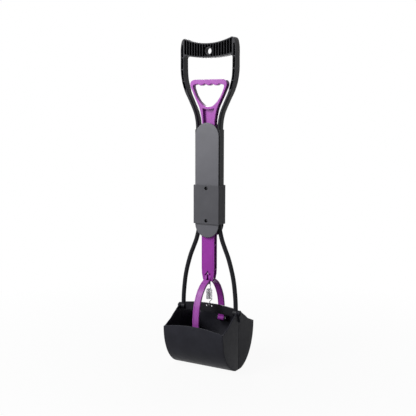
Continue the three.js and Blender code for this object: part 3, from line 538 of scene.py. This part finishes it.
def make_grip_frame():
    """The hoop with its ribbed pockets, its web and hanging hole, the two arms and the casing's inside."""
    foot = smooth([FOOT_TIP, (44.3, 525.6), (44.9, 530.5), HOOP_INNER[0]], 4)[:-1]
    heel = smooth([HOOP_OUTER[0], (51.2, 530.6), (48.6, 526), FOOT_TIP], 4)[:0:-1]
    right_side = foot + HOOP_INNER + OPENING_CORNER
    left_outer = flipped(heel + HOOP_OUTER)
    outline = [
        *heel, *HOOP_OUTER, *along(HORN, -HORN, grip_crest)[1:-1], *left_outer,
        *[(-x, z) for x, z in right_side], *along(-OPENING_EDGE, OPENING_EDGE, grip_underside)[1:-1],
        *right_side[:0:-1],
    ]
    pockets = [grip_pocket(k) for k in range(POCKETS)]
    lowest, *rest = [arm_pocket(*ends) for ends in ARM_POCKETS]
    pockets += [side for points in rest for side in (points, flipped(points))]
    half = GRIP_DEPTH / 2
    hoop = plate("grip_frame", outline, -half, half, edge=0.4, holes=pockets)
    cut(hoop, pin("relief", BOSS_RADIUS + RIB_WIDTH, -half - OVERRUN, half + OVERRUN,
                  0, HOLE_HEIGHT, "Y", 48))
    for point in hoop.data.vertices:
        point.co.y *= width_at(FOOT_TAPER, point.co.z / MM)
    web = plate("web", outline, -WEB_HALF, WEB_HALF, edge=0.1, inset=WEB_INSET,
                holes=[circle(0, HOLE_HEIGHT, HOLE_RADIUS + 1)])
    boss = plate("boss", circle(0, HOLE_HEIGHT, BOSS_RADIUS, 48), -BOSS_DEPTH / 2, BOSS_DEPTH / 2, edge=0.6,
                 holes=[circle(0, HOLE_HEIGHT, HOLE_RADIUS, 48)])
    arm = moulded_bar("arm", smooth(ARM_PATH, 8), smooth(ARM_SECTIONS, 8))
    # The lowest pocket lies where the hoop and the arm cross, so it is cut into both
    depths = ((-half - OVERRUN, -WEB_HALF), (WEB_HALF, half + OVERRUN))
    cut(arm, *[plate("pocket", lowest, low, high, edge=0) for low, high in depths])
    cut(hoop, *[plate("pocket", points, low, high, edge=0)
                for points in (lowest, flipped(lowest)) for low, high in depths])
    inside = from_cad("inside", "handle_frame", below=HANDLE_INSIDE_TOP)
    return join("grip_frame", hoop, web, boss, *on_both_sides(arm), inside)


finish(make_grip_frame(), "charcoal_plastic", "frame", "handle_frame")


# ---------------------------------------------------------------- lower frame

LEG_RADIUS, LEG_HEAD, LEG_FOOT, LEG_EYE_OUTER, LEG_EYE_WIDTH = 4.3, 21.9, 58.1, 62.4, 8.6
LEG_RISE = CASING_BOTTOM - PIVOT
# The plate across the legs: its edges' heights at the legs and their rise to the middle
BRIDGE_BOTTOM, BRIDGE_TOP, BRIDGE_HALF_DEPTH = (102.2, 2.2), (118.2, 4.4), 1.5
LOWER_INSIDE_BOTTOM = 262       # the frame's own mesh is kept above it, inside the casing

LEG_PATH = [(LEG_HEAD + share * (LEG_FOOT - LEG_HEAD), PIVOT + rise * LEG_RISE) for share, rise in (
    (0, 1.36), (0, 1.2), (0.036, 1.1), (0.173, 0.965), (0.351, 0.852), (0.552, 0.729),
    (0.724, 0.588), (0.836, 0.472), (0.914, 0.352), (0.98, 0.19), (1, 0.077), (1, 0))]


def make_lower_frame():
    """The two legs with their hinge eyes, the plate across them and the casing's inside."""
    path = smooth(LEG_PATH, 8)
    leg = moulded_bar("leg", path, [(LEG_RADIUS, LEG_RADIUS, 0)] * len(path))
    eye = plate("eye", circle(0, PIVOT, EAR_RADIUS), LEG_EYE_OUTER - LEG_EYE_WIDTH, LEG_EYE_OUTER,
                "side", 0.7, holes=[circle(0, PIVOT, HINGE_BORE, 24)])
    half = LEG_FOOT - LEG_RADIUS / 2

    def arch(base, rise):
        return lambda x: base + rise * (1 - (x / half) ** 2)

    outline = along(-half, half, arch(*BRIDGE_BOTTOM)) + along(half, -half, arch(*BRIDGE_TOP))
    holes = [(0, SPRING_HOLE, 1.2), (-5.8, 117.27, 1.4), (5.8, 117.27, 1.4)]
    bridge = plate("bridge", outline, -BRIDGE_HALF_DEPTH, BRIDGE_HALF_DEPTH, edge=0.7,
                   holes=[circle(*hole, 20) for hole in holes])
    nub = dome("nub", 30.6, 0, 232, width=1.5, depth=1.6, height=2.4)
    inside = from_cad("inside", "lower_frame", above=LOWER_INSIDE_BOTTOM)
    return join("lower_frame_dressed", bridge, *on_both_sides(leg), *on_both_sides(eye), nub, inside)


finish(make_lower_frame(), "charcoal_plastic", "frame", "lower_frame")


# ---------------------------------------------------------------- covers and collar

COVER_HALF, COVER_INNER, CASING_HALF = 25.5, 8.6, 10.5
SCREW_SPREAD, POST_RADIUS, COLLAR_HOLE = 19.8, 2.6, 4.9
COVER_SCREW_PLACES = [(side * SCREW_SPREAD, z) for z in COVER_SCREWS for side in (1, -1)]
COVER_SCREW_HOLES = [circle(x, z, SCREW_BORE, 20) for x, z in COVER_SCREW_PLACES]
COLLAR_HOLES = [circle(0, z, COLLAR_HOLE) for z in COLLAR_SCREWS]


def cover_outline():
    return (arc(0, CASING_TOP - COVER_HALF, COVER_HALF, 0, math.pi, 36)
            + arc(0, CASING_BOTTOM + COVER_HALF, COVER_HALF, math.pi, 2 * math.pi, 36))


def make_front_cover():
    cover = plate("front_cover_plate", cover_outline(), -CASING_HALF, -COVER_INNER, edge=0.7, steps=3,
                  holes=COLLAR_HOLES)
    posts = [plate("post", circle(x, z, POST_RADIUS), -COVER_INNER - 0.9, -COVER_INNER + 7.5, edge=0.3,
                   holes=[hole]) for (x, z), hole in zip(COVER_SCREW_PLACES, COVER_SCREW_HOLES)]
    return join("front_cover_plate", cover, *posts)


def make_rear_cover():
    return plate("rear_cover_plate", cover_outline(), COVER_INNER, CASING_HALF, edge=0.7, steps=3,
                 holes=COLLAR_HOLES + COVER_SCREW_HOLES)


finish(make_front_cover(), "slate_plastic", "frame", "front_cover")
finish(make_rear_cover(), "slate_plastic", "frame", "rear_cover")

# Half widths of the collar and of the room in it, each with its corners' radius
COLLAR_X, COLLAR_Y, COLLAR_CORNER = 28.2, 13.2, 2.2
ROOM_X, ROOM_Y, ROOM_CORNER = 26.8, 10.8, 0.6
# The bosses inside the collar and the screws' recesses in its front, with depths from its face
COLLAR_BOSS, BOSS_END = 4.6, 6.6
RECESS_RADIUS, RECESS_MOUTH, RECESS_DEPTH = 3.3, 3.9, 5.4


def collar_half(name):
    """The rear half of the collar's sleeve, open towards the front."""
    outer = [*arc(COLLAR_X - COLLAR_CORNER, COLLAR_Y - COLLAR_CORNER, COLLAR_CORNER, 0, math.pi / 2, 6),
             *arc(COLLAR_CORNER - COLLAR_X, COLLAR_Y - COLLAR_CORNER, COLLAR_CORNER, math.pi / 2, math.pi, 6)]
    inner = [*arc(ROOM_CORNER - ROOM_X, ROOM_Y - ROOM_CORNER, ROOM_CORNER, math.pi, math.pi / 2, 2),
             *arc(ROOM_X - ROOM_CORNER, ROOM_Y - ROOM_CORNER, ROOM_CORNER, math.pi / 2, 0, 2)]
    split = SEAT / 2
    outline = [(COLLAR_X, split), *outer, (-COLLAR_X, split), (-ROOM_X, split), *inner, (ROOM_X, split)]
    return plate(name, outline, COLLAR_BOTTOM, COLLAR_TOP, "top", 0.6)


def make_collar_rear():
    bosses = [plate("boss", circle(0, z, COLLAR_BOSS), COLLAR_Y - BOSS_END, COLLAR_Y - 0.8, edge=0.1,
                    holes=[circle(0, z, SCREW_BORE, 20)]) for z in COLLAR_SCREWS]
    return join("collar_rear_shell", collar_half("collar_rear_shell"), *bosses)


def make_collar_front():
    sleeve = copied(collar_half("sleeve"), "collar_front_shell", HALF_TURN)
    bpy.data.objects.remove(bpy.data.objects["sleeve"])
    well = [(RECESS_RADIUS, RECESS_DEPTH), (SCREW_BORE, RECESS_DEPTH)]
    recess = [(0, -OVERRUN), (RECESS_MOUTH, -OVERRUN), (RECESS_MOUTH, 0), (RECESS_RADIUS, 0.7), *well,
              (SCREW_BORE, 9), (0, 9)]
    seat = [(RECESS_RADIUS, 0.8), *well, (SCREW_BORE, BOSS_END), (COLLAR_BOSS, BOSS_END), (COLLAR_BOSS, 0.8),
            (RECESS_RADIUS, 0.8)]
    for z in COLLAR_SCREWS:
        cut(sleeve, moved(turned("recess", recess), 0, -COLLAR_Y, z))
    seats = [moved(turned("seat", seat), 0, -COLLAR_Y, z) for z in COLLAR_SCREWS]
    return join("collar_front_shell", sleeve, *seats)


# The collar's shells take the darker slate, which paints in shade
finish(make_collar_rear(), "slate_plastic", "frame", "collar_rear", shade=COLLAR_PAINTED_SHADE_SLATE)
finish(make_collar_front(), "slate_plastic", "frame", "collar_front", shade=COLLAR_PAINTED_SHADE_SLATE)


# ---------------------------------------------------------------- screws and pins

def make_screw(name, shank, head_radius, head_height):
    """A pan-head screw along +Y with a cross recess and a thread, its head's underside at the origin."""
    core, crest, pitch = 1.15, 1.5, 1.2
    slot_half = 0.32
    turns = int((shank - 3) / pitch)
    thread = []
    for k in range(turns):
        at = shank - 2 - pitch * k
        thread += [(core, at), (crest, at - pitch / 2)]
    profile = [(0, shank), (core * 0.5, shank - 1), *thread, (core, shank - 2 - pitch * turns), (crest, 0.6),
               (crest, 0), (head_radius, 0), (head_radius, -0.35 * head_height),
               (head_radius * 0.93, -0.65 * head_height), (head_radius * 0.78, -0.88 * head_height),
               (head_radius * 0.5, -head_height), (0, -head_height)]
    piece = turned(name, profile, 24)
    arm, deep = head_radius * 0.55, 0.6 * head_height
    for x, z in ((arm, slot_half), (slot_half, arm)):
        cut(piece, block("slot", -x, x, -head_height - 1, deep - head_height, -z, z))
    return piece


def place_screws(model, body, *places, shade=None):
    """Copies the screw to each (node, place, turn) and takes the model away."""
    for node, spot, turn in places:
        twin = copied(model, node + "_part", turn)
        finish(moved(twin, *spot), "screw_steel", body, node, shade=shade)
    bpy.data.objects.remove(model)


# How far each screw was turned home
ROLL = [Matrix.Rotation(math.radians(angle), 4, "Y") for angle in (12, 33, 57, 21, 75, 44)]
COVER_SCREW_NAMES = [f"cover_screw_{level}_{side}" for level in ("lower", "middle", "upper")
                     for side in ("right", "left")]
COLLAR_SCREW_HEAD, LAP_SCREW_HEAD = -8.1, -3.9

place_screws(
    make_screw("cover_screw", shank=18.8, head_radius=3, head_height=1.8), "frame",
    *[(name, (x, CASING_HALF + SEAT, z), HALF_TURN @ roll)
      for name, (x, z), roll in zip(COVER_SCREW_NAMES, COVER_SCREW_PLACES, ROLL)])
# The collar's screws take the near-black steel, which paints in the shade of their recesses
place_screws(
    make_screw("collar_screw", shank=19.5, head_radius=3, head_height=1.8), "frame",
    *[(f"collar_screw_{level}", (0, COLLAR_SCREW_HEAD, z), roll)
      for level, z, roll in zip(("lower", "upper"), COLLAR_SCREWS, ROLL)], shade=SCREW_PAINTED_SHADE_STEEL)
place_screws(
    make_screw("rod_screw", shank=7.5, head_radius=2.7, head_height=1.6), "trigger_rod",
    *[(f"rod_screw_{level}", (0, LAP_SCREW_HEAD, z), roll)
      for level, z, roll in zip(("lower", "upper"), LAP_SCREWS, ROLL[3:])])

Y_TO_X = Matrix.Rotation(-math.pi / 2, 4, "Z")


def make_hinge_pin():
    """A hinge pin on the right: a chamfered inner end and a domed head with a dimple."""
    inner, head, radius, head_radius = 53.5, EAR_OUTER + SEAT, 2, 4.2
    profile = [(0, inner), (radius - 0.5, inner), (radius, inner + 0.6), (radius, head), (head_radius, head),
               (head_radius, head + 0.7), (3.9, head + 1.35), (3, head + 1.85), (1.6, head + 2),
               (1.2, head + 1.7), (0, head + 1.6)]
    model = turned("hinge_pin", profile)
    model.data.transform(Y_TO_X)
    return moved(model, 0, 0, PIVOT)


hinge_pin = make_hinge_pin()
finish(copied(hinge_pin, "hinge_pin_right_part"), "charcoal_plastic", "frame", "hinge_pin_right")
finish(copied(hinge_pin, "hinge_pin_left_part", HALF_TURN), "charcoal_plastic", "frame", "hinge_pin_left")
bpy.data.objects.remove(hinge_pin)


def cross_pin(name, radius, reach, y, z, chamfer=0.4):
    """A plain pin along X with chamfered ends."""
    profile = [(0, -reach), (radius - chamfer, -reach), (radius, chamfer - reach), (radius, reach - chamfer),
               (radius - chamfer, reach), (0, reach)]
    piece = turned(name, profile)
    piece.data.transform(Y_TO_X)
    return moved(piece, 0, y, z)


finish(cross_pin("link_pin_part", 2, 9.55, 0, LINK_PIN), "screw_steel", "trigger_rod", "link_pin")
finish(cross_pin("rear_jaw_pin_part", 1.75, CLEVIS_OUTER, LINK_REACH, JAW_PIN),
       "screw_steel", "rear_jaw_body", "rear_jaw_pin")
finish(cross_pin("front_jaw_pin_part", 1.75, CLEVIS_OUTER, -LINK_REACH, JAW_PIN),
       "screw_steel", "front_jaw_body", "front_jaw_pin")


# ---------------------------------------------------------------- trigger and rod

HALF_TRIGGER, ROD_HALF_WIDTH, ROD_HALF_DEPTH = 40, 13.75, 5.5
# The loop's bar, its opening and the three finger bumps under the bar
BAR_HEIGHT, LOOP_HEIGHT, BUMP_HEIGHT, BUMP_PITCH, BUMPS_HALF = 9, 44, 1.5, 16, 24
# The grooves in the stem's sides, and the pockets in its faces with their half widths
GROOVE_DEPTH, GROOVE_HALF = 2.2, 3.2
FRONT_POCKET, REAR_POCKET, POCKET_FOOT, POCKET_HEAD = 6.5, 2, 10.3, 12.5
# The fine lines down the rod's front
LINE_INSET, LINE_HALF, LINE_DEPTH, LINE_BOTTOM, LINE_TOP = 2.6, 0.4, 0.3, 186, 262


def make_trigger():
    """The finger loop and its stem, with a groove up each side and a pocket in each face."""
    side = smooth(scaled([
        (0.82, 0.995), (0.93, 0.965), (0.99, 0.91), (0.965, 0.83), (0.87, 0.73), (0.745, 0.6),
        (0.615, 0.475), (0.49, 0.345), (0.41, 0.2), (0.36, 0.06), (0.344, -0.08),
    ], HALF_TRIGGER, CASING_TOP, TRIGGER_TOP - CASING_TOP))
    right = [(side[0][0] - 3, TRIGGER_TOP), *side[1:], (ROD_HALF_WIDTH, LAP_BOTTOM)]
    outline = [*right, *flipped(right)]
    opening_top = TRIGGER_TOP - BAR_HEIGHT
    opening_bottom = opening_top - LOOP_HEIGHT
    opening = smooth(scaled([
        (0.8, 0.975), (0.825, 0.92), (0.79, 0.8), (0.66, 0.53), (0.47, 0.29), (0.27, 0.12), (0.13, 0.065),
        (0, 0.05),
    ], HALF_TRIGGER, opening_bottom, LOOP_HEIGHT))

    def bumps(x):
        return opening_top + BUMP_HEIGHT / 2 - BUMP_HEIGHT * (1 + math.cos(2 * math.pi * x / BUMP_PITCH))

    hole = [*along(-BUMPS_HALF, BUMPS_HALF, bumps, 60), *opening, *flipped(opening[:-1])]
    trigger = plate("trigger", outline, -ROD_HALF_DEPTH, ROD_HALF_DEPTH, edge=1.3, steps=3, holes=[hole])

    groove = [(x - GROOVE_DEPTH, z) for x, z in side if opening_top > z > CASING_TOP - COVER_HALF]
    groove += [(x + GROOVE_DEPTH + OVERRUN, z) for x, z in reversed(groove)]
    pocket_side = [(POCKET_FOOT, LAP_TOP + 2), (POCKET_FOOT, CASING_TOP - 6), (POCKET_HEAD, opening_bottom)]
    sag = smooth([(POCKET_HEAD, opening_bottom), (6, opening_bottom - 1.5), (0, opening_bottom - 2),
                  (-6, opening_bottom - 1.5), (-POCKET_HEAD, opening_bottom)], 4)
    pocket = rounded([*pocket_side, *sag[1:-1], *flipped(pocket_side)], 0.9, 3)
    cut(trigger,
        *[plate("groove", points, -GROOVE_HALF, GROOVE_HALF, edge=0.4)
          for points in (groove, flipped(groove))],
        plate("pocket", pocket, -8.5, FRONT_POCKET - ROD_HALF_DEPTH, edge=0.5),
        plate("pocket", pocket, ROD_HALF_DEPTH - REAR_POCKET, 8.5, edge=0.5),
        block("lap", -16, 16, -SEAT / 2, 9, LAP_BOTTOM - OVERRUN, LAP_TOP + SEAT),
        *[pin("bore", SCREW_BORE, -8, 2, 0, z, "Y", 20) for z in LAP_SCREWS],
        *[pin("seat", 3, -8, LAP_SCREW_HEAD + SEAT, 0, z, "Y", 24) for z in LAP_SCREWS])
    return trigger


# The trigger takes the paler violet with painted light and sheen
finish(make_trigger(), "violet_plastic", "trigger_rod", "trigger_handle", shade=TRIGGER_PAINTED_SHEEN_VIOLET)


def make_rod():
    """The frame's own rod with rounded edges and a fine line down each side of its front."""
    rod = from_cad("rod", "pull_rod")
    choose(rod)
    bpy.ops.object.mode_set(mode="EDIT")
    bpy.ops.mesh.select_all(action="SELECT")
    bpy.ops.mesh.dissolve_limited(angle_limit=math.radians(1))
    bpy.ops.object.mode_set(mode="OBJECT")
    use_modifier(rod, "BEVEL", width=0.45 * MM, segments=2, limit_method="ANGLE",
                 angle_limit=math.radians(40), use_clamp_overlap=True)
    return cut(rod, *[block("line", x - LINE_HALF, x + LINE_HALF, -ROD_HALF_DEPTH - 1,
                            LINE_DEPTH - ROD_HALF_DEPTH, LINE_BOTTOM, LINE_TOP)
                      for x in (LINE_INSET - ROD_HALF_WIDTH, ROD_HALF_WIDTH - LINE_INSET)])


finish(make_rod(), "violet_plastic", "trigger_rod", "pull_rod")


# ---------------------------------------------------------------- links

# Half the strap's thickness, and the shallow channels' floor and the rim beside them
STRAP_HALF, CHANNEL_FLOOR, CHANNEL_RIM = 2.1, 1.6, 2.2
# The rod end's inner face, which leaves room for the other link, and the radii of the two eyes
LINK_INNER, LINK_EYE, JAW_EYE = 1.7, 6.6, 4.4
LINK_PATH = smooth(scaled([
    (0, 1), (0.285, 0.93), (0.49, 0.862), (0.684, 0.752), (0.826, 0.626), (0.93, 0.489),
    (0.99, 0.319), (1.015, 0.176), (1, 0),
], LINK_REACH, JAW_PIN, LINK_PIN - JAW_PIN))


def strap_outline(path, outer, inner):
    """The band between two distances from a path, the outer one above it."""
    sides = []
    for reach in (outer, inner):
        row = []
        for k, (y, z) in enumerate(path):
            (y0, z0), (y1, z1) = path[max(k - 1, 0)], path[min(k + 1, len(path) - 1)]
            length = math.hypot(y1 - y0, z1 - z0)
            row.append((y + reach * (z0 - z1) / length, z + reach * (y1 - y0) / length))
        sides.append(row)
    return sides[0] + sides[1][::-1]


def make_link():
    """The rear link: a channelled strap, its two eyes and the tab that stands in the rod's notch."""
    strap = plate("link", strap_outline(LINK_PATH, STRAP_HALF, -STRAP_HALF), -LINK_HALF, LINK_HALF,
                  "side", 0.7)
    channel = LINK_PATH[9:-5]
    cut(strap,
        *[plate("channel", strap_outline(channel, outer, inner), CHANNEL_RIM - LINK_HALF,
                LINK_HALF - CHANNEL_RIM, "side", 0.3)
          for outer, inner in ((4, CHANNEL_FLOOR), (-CHANNEL_FLOOR, -4))],
        block("room", -9, LINK_INNER, -12, 10.8, LINK_PIN - 12, LINK_PIN + 12),
        pin("bore", LINK_BORE, -14, 14, 0, LINK_PIN),
        pin("bore", JAW_PIN_BORE, -14, 14, LINK_REACH, JAW_PIN, sides=24))
    rod_eye = plate("eye", circle(0, LINK_PIN, LINK_EYE), LINK_INNER, LINK_HALF, "side", 0.5,
                    holes=[circle(0, LINK_PIN, LINK_BORE)])
    jaw_eye = plate("eye", circle(LINK_REACH, JAW_PIN, JAW_EYE), -LINK_HALF, LINK_HALF, "side", 0.5,
                    holes=[circle(LINK_REACH, JAW_PIN, JAW_PIN_BORE, 24)])
    tab_outline = rounded([(1.9, 173), (5.7, 173), (5.5, 177.2), (2.8, 179.9), (1.9, 179.9)], 0.6)
    tab = plate("tab", tab_outline, 3.9, 6, edge=0.4)
    return join("link", strap, rod_eye, jaw_eye, tab)


link = make_link()
finish(copied(link, "rear_link_strap"), "violet_plastic", "rear_link_body", "rear_link")
# The front link takes the same paler violet with painted light; the rear link keeps the plain violet
finish(copied(link, "front_link_strap", HALF_TURN), "violet_plastic", "front_link_body", "front_link",
       shade=TRIGGER_PAINTED_SHEEN_VIOLET)
bpy.data.objects.remove(link)


# ---------------------------------------------------------------- jaws

BOWL_HEIGHT, BOWL_DEPTH, RIM_CROWN, RIM_RADIUS = 80, 81, 7, 1.1
JAW_INNER = HALF_JAW - JAW_WALL
JAW_LAP = 0.2               # how far the bowl's shell and the side walls reach into each other
JAW_SEAM = 0.04             # half the gap between the closed jaws
EAR_INNER = HALF_JAW + SEAT


def bowl_points(reach, depth, floor, top, steps=40):
    """Half of the bowl's section: the flat land at its floor, the curve, and the wall up to the top."""
    land = reach * math.sqrt(max(0, 1 - ((BOWL_HEIGHT - floor) / depth) ** 2))
    start = math.asin(land / reach)
    points = [(JAW_SEAM, floor)]
    for k in range(steps + 1):
        turn = start + (math.pi / 2 - start) * k / steps
        points.append((reach * math.sin(turn), max(floor, BOWL_HEIGHT - depth * math.cos(turn))))
    return [*points, (reach, top)]


def rim_height(x):
    return RIM + RIM_CROWN * (1 - (x / HALF_JAW) ** 2)


JAW_EDGE = smooth([(JAW_REACH - 4.4, RIM), *scaled([
    (0.89, 0.035), (0.77, 0.15), (0.6, 0.31), (0.47, 0.49), (0.32, 0.665), (0.2, 0.81), (0, 1),
], JAW_REACH, RIM, PIVOT + EAR_RADIUS - RIM)], 5)


def make_jaw():
    """The rear jaw: shell, rim, two side walls with their ears, and the clevis for the link."""
    top = RIM + RIM_CROWN + 3
    inner = bowl_points(JAW_REACH - JAW_WALL, BOWL_DEPTH - JAW_WALL, JAW_WALL, top)
    band = [*bowl_points(JAW_REACH, BOWL_DEPTH, 0, top), *reversed(inner)]
    shell = plate("jaw", band, -JAW_INNER - JAW_LAP, JAW_INNER + JAW_LAP, "side", 0.7, steps=2)
    above = [(-70, top + 5), *along(-70, 70, lambda x: rim_height(x) - RIM_RADIUS, 48), (70, top + 5)]
    cut(shell, plate("above", above, 50, 70, edge=0))
    rim = tube("rim", [(x, JAW_REACH - RIM_RADIUS, z - RIM_RADIUS)
                       for x, z in along(1 - HALF_JAW, HALF_JAW - 1, rim_height, 48)], RIM_RADIUS)

    side = plate("side", [*bowl_points(JAW_REACH, BOWL_DEPTH, 0, RIM), *JAW_EDGE, (JAW_SEAM, PIVOT)],
                 JAW_INNER - JAW_LAP, HALF_JAW, "side", 0.95, steps=3)
    sides = on_both_sides(side)
    cut(sides[0], pin("clear", EAR_CLEARANCE, JAW_INNER - OVERRUN, HALF_JAW + OVERRUN, 0, PIVOT))
    cut(sides[1], pin("bore", HINGE_BORE, -HALF_JAW - OVERRUN, -60, 0, PIVOT))
    strap = plate("strap", rounded([(-6, PIVOT), (SEAT, PIVOT - 18), (12, PIVOT - 12), (6, PIVOT)], 2.5, 4),
                  HALF_JAW - SEAT, EAR_OUTER, "side", 0.8)
    cut(strap,
        pin("clear", EAR_CLEARANCE, JAW_INNER, EAR_INNER, 0, PIVOT),
        pin("bore", HINGE_BORE, 60, 70, 0, PIVOT),
        block("half", JAW_INNER, EAR_INNER, -JAW_REACH, SEAT / 2, 0, GRIP_TOP))
    bore = [circle(0, PIVOT, HINGE_BORE, 24)]
    outer_ear = plate("ear", circle(0, PIVOT, EAR_RADIUS), EAR_INNER, EAR_OUTER, "side", 0.8, holes=bore)
    inner_ear = plate("ear", circle(0, PIVOT, EAR_RADIUS), -HALF_JAW, -JAW_INNER, "side", 0.6, holes=bore)

    clevis = plate("clevis", rounded([
        (LINK_REACH - JAW_EYE, JAW_PIN), (LINK_REACH - 3, JAW_PIN - 4), (JAW_REACH - 1.1, JAW_PIN - 9),
        (JAW_REACH - 1.1, JAW_PIN + 2.2), (LINK_REACH, JAW_PIN + JAW_EYE), (LINK_REACH - 3, JAW_PIN + 4),
    ], 2, 4), CLEVIS_INNER, CLEVIS_OUTER, "side", 0.5, holes=[circle(LINK_REACH, JAW_PIN, JAW_PIN_BORE, 24)])
    mark = dome("mark", 0, JAW_REACH - 0.1, 84.5, width=3.4, depth=0.6, height=2.2)
    return join("jaw", shell, rim, *sides, strap, outer_ear, inner_ear, *on_both_sides(clevis), mark)


jaw = make_jaw()
# Both jaws take the paler charcoal, which paints in their lit look
finish(copied(jaw, "rear_jaw_bowl"), "charcoal_plastic", "rear_jaw_body", "rear_jaw", shade=JAW_PAINTED_LIGHT_CHARCOAL)
finish(copied(jaw, "front_jaw_bowl", HALF_TURN), "charcoal_plastic", "front_jaw_body", "front_jaw",
       shade=JAW_PAINTED_LIGHT_CHARCOAL)
bpy.data.objects.remove(jaw)


# ---------------------------------------------------------------- return spring

WIRE_RADIUS = 0.7


def spring_points():
    """The wire's middle line: a hook through the bridge, the coil, a hook through the tongue."""
    hook, coil, turns, pitch = 3.1, 5.4, 9, 2.3
    low, high = SPRING_HOLE + hook, SPRING_TONGUE - hook
    bottom = (low + high - turns * pitch) / 2
    lower = [(0, hook * math.cos(t), low + hook * math.sin(t))
             for t in (math.pi * (-1 + 1.5 * k / 18) for k in range(17))]
    upper = [(hook * math.cos(t), 0, high + hook * math.sin(t))
             for t in (math.pi * (-0.5 + 1.5 * k / 18) for k in range(2, 19))]
    steps = 28      # round each turn of the coil
    helix = [(coil * math.cos(2 * math.pi * k / steps), coil * math.sin(2 * math.pi * k / steps),
              bottom + pitch * k / steps) for k in range(2, turns * steps - 1)]
    return smooth([*lower[::2], *helix[::4], *upper[::2]], 5)


def make_spring():
    """The spring from the frame's plate to the rod's tongue, with a hook through each."""
    spring = tube("return_spring_wire", spring_points(), WIRE_RADIUS, rings=3)
    choose(spring)
    bpy.ops.object.shade_smooth()
    spring.data.materials.clear()
    spring.data.materials.append(MATERIALS["spring_steel"])
    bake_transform(spring)
    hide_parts("return_spring")


make_spring()


# ---------------------------------------------------------------- floor, light and camera

def seen_directly(tree):
    """One where the camera, a reflection or glass looks at the surface."""
    path = tree.nodes.new("ShaderNodeLightPath")
    found = path.outputs["Is Camera Ray"]
    for ray in ("Is Glossy Ray", "Is Transmission Ray"):
        either = tree.nodes.new("ShaderNodeMath")
        either.operation = "MAXIMUM"
        tree.links.new(found, either.inputs[0])
        tree.links.new(path.outputs[ray], either.inputs[1])
        found = either.outputs[0]
    return found


def mix_into(output, tree, share, first, second):
    """Blends two shaders into the output by the second one's share."""
    blend = tree.nodes.new("ShaderNodeMixShader")
    tree.links.new(share, blend.inputs["Fac"])
    tree.links.new(first, blend.inputs[1])
    tree.links.new(second, blend.inputs[2])
    tree.links.new(blend.outputs["Shader"], tree.nodes[output].inputs["Surface"])


def make_floor():
    """A white floor that takes a faint shadow near the tool and is plain white further out."""
    bpy.ops.mesh.primitive_plane_add(size=8)
    floor = bpy.context.view_layer.objects.active
    floor.name = "floor"
    material, tree, shader = new_material("floor")
    shader.inputs["Base Color"].default_value = (*grey(0.5), 1)
    shader.inputs["Roughness"].default_value = 0.9
    glow = tree.nodes.new("ShaderNodeEmission")
    place = tree.nodes.new("ShaderNodeTexCoord")
    away = tree.nodes.new("ShaderNodeVectorMath")
    away.operation = "LENGTH"
    fade = tree.nodes.new("ShaderNodeMapRange")
    for socket, value in (("From Min", 0.15), ("From Max", 0.8), ("To Min", 0.94), ("To Max", 1)):
        fade.inputs[socket].default_value = value
    share = tree.nodes.new("ShaderNodeMath")
    share.operation = "MULTIPLY"
    tree.links.new(place.outputs["Object"], away.inputs[0])
    tree.links.new(away.outputs["Value"], fade.inputs["Value"])
    tree.links.new(seen_directly(tree), share.inputs[0])
    tree.links.new(fade.outputs["Result"], share.inputs[1])
    mix_into("Material Output", tree, share.outputs[0], shader.outputs["BSDF"], glow.outputs["Emission"])
    floor.data.materials.append(material)


def make_world(ambient):
    """White where it is seen directly, and a weak light everywhere else."""
    world = bpy.data.worlds.new("studio")
    bpy.context.scene.world = world
    world.use_nodes = True
    tree = world.node_tree
    lit, white = tree.nodes["Background"], tree.nodes.new("ShaderNodeBackground")
    for background, strength in ((lit, ambient), (white, 1)):
        background.inputs["Color"].default_value = (1, 1, 1, 1)
        background.inputs["Strength"].default_value = strength
    mix_into("World Output", tree, seen_directly(tree),
             lit.outputs["Background"], white.outputs["Background"])


def make_lamp(name, place, aim, size, power):
    """A round lamp that looks at a point, with its size in metres and its power in watts."""
    lamp = bpy.data.lights.new(name, "AREA")
    lamp.shape = "DISK"
    lamp.size = size
    lamp.energy = power
    holder = bpy.data.objects.new(name, lamp)
    bpy.context.scene.collection.objects.link(holder)
    holder.location = place
    holder.rotation_euler = (Vector(aim) - Vector(place)).to_track_quat("-Z", "Y").to_euler()


def make_camera(place, turn, focal_length):
    lens = bpy.data.cameras.new("camera")
    lens.sensor_width = 36
    lens.lens = focal_length
    camera = bpy.data.objects.new("camera", lens)
    bpy.context.scene.collection.objects.link(camera)
    camera.location = place
    camera.rotation_euler = [math.radians(angle) for angle in turn]
    bpy.context.scene.camera = camera


make_floor()
make_world(ambient=0.05)
make_lamp("key", place=(-0.38, -0.66, 1.0), aim=(0, 0, 0.45), size=0.5, power=9)
make_lamp("panel", place=(-0.66, -1.14, 0.70), aim=(0, 0, 0.5), size=0.5, power=6)
make_lamp("back", place=(-0.5, 1.1, 0.7), aim=(0, 0, 0.3), size=0.6, power=6)
make_camera(place=(0.72202, -1.24845, 0.4891), turn=(82.82, -0.126, 30.164), focal_length=66.05)
bpy.context.scene.view_settings.view_transform = "Standard"
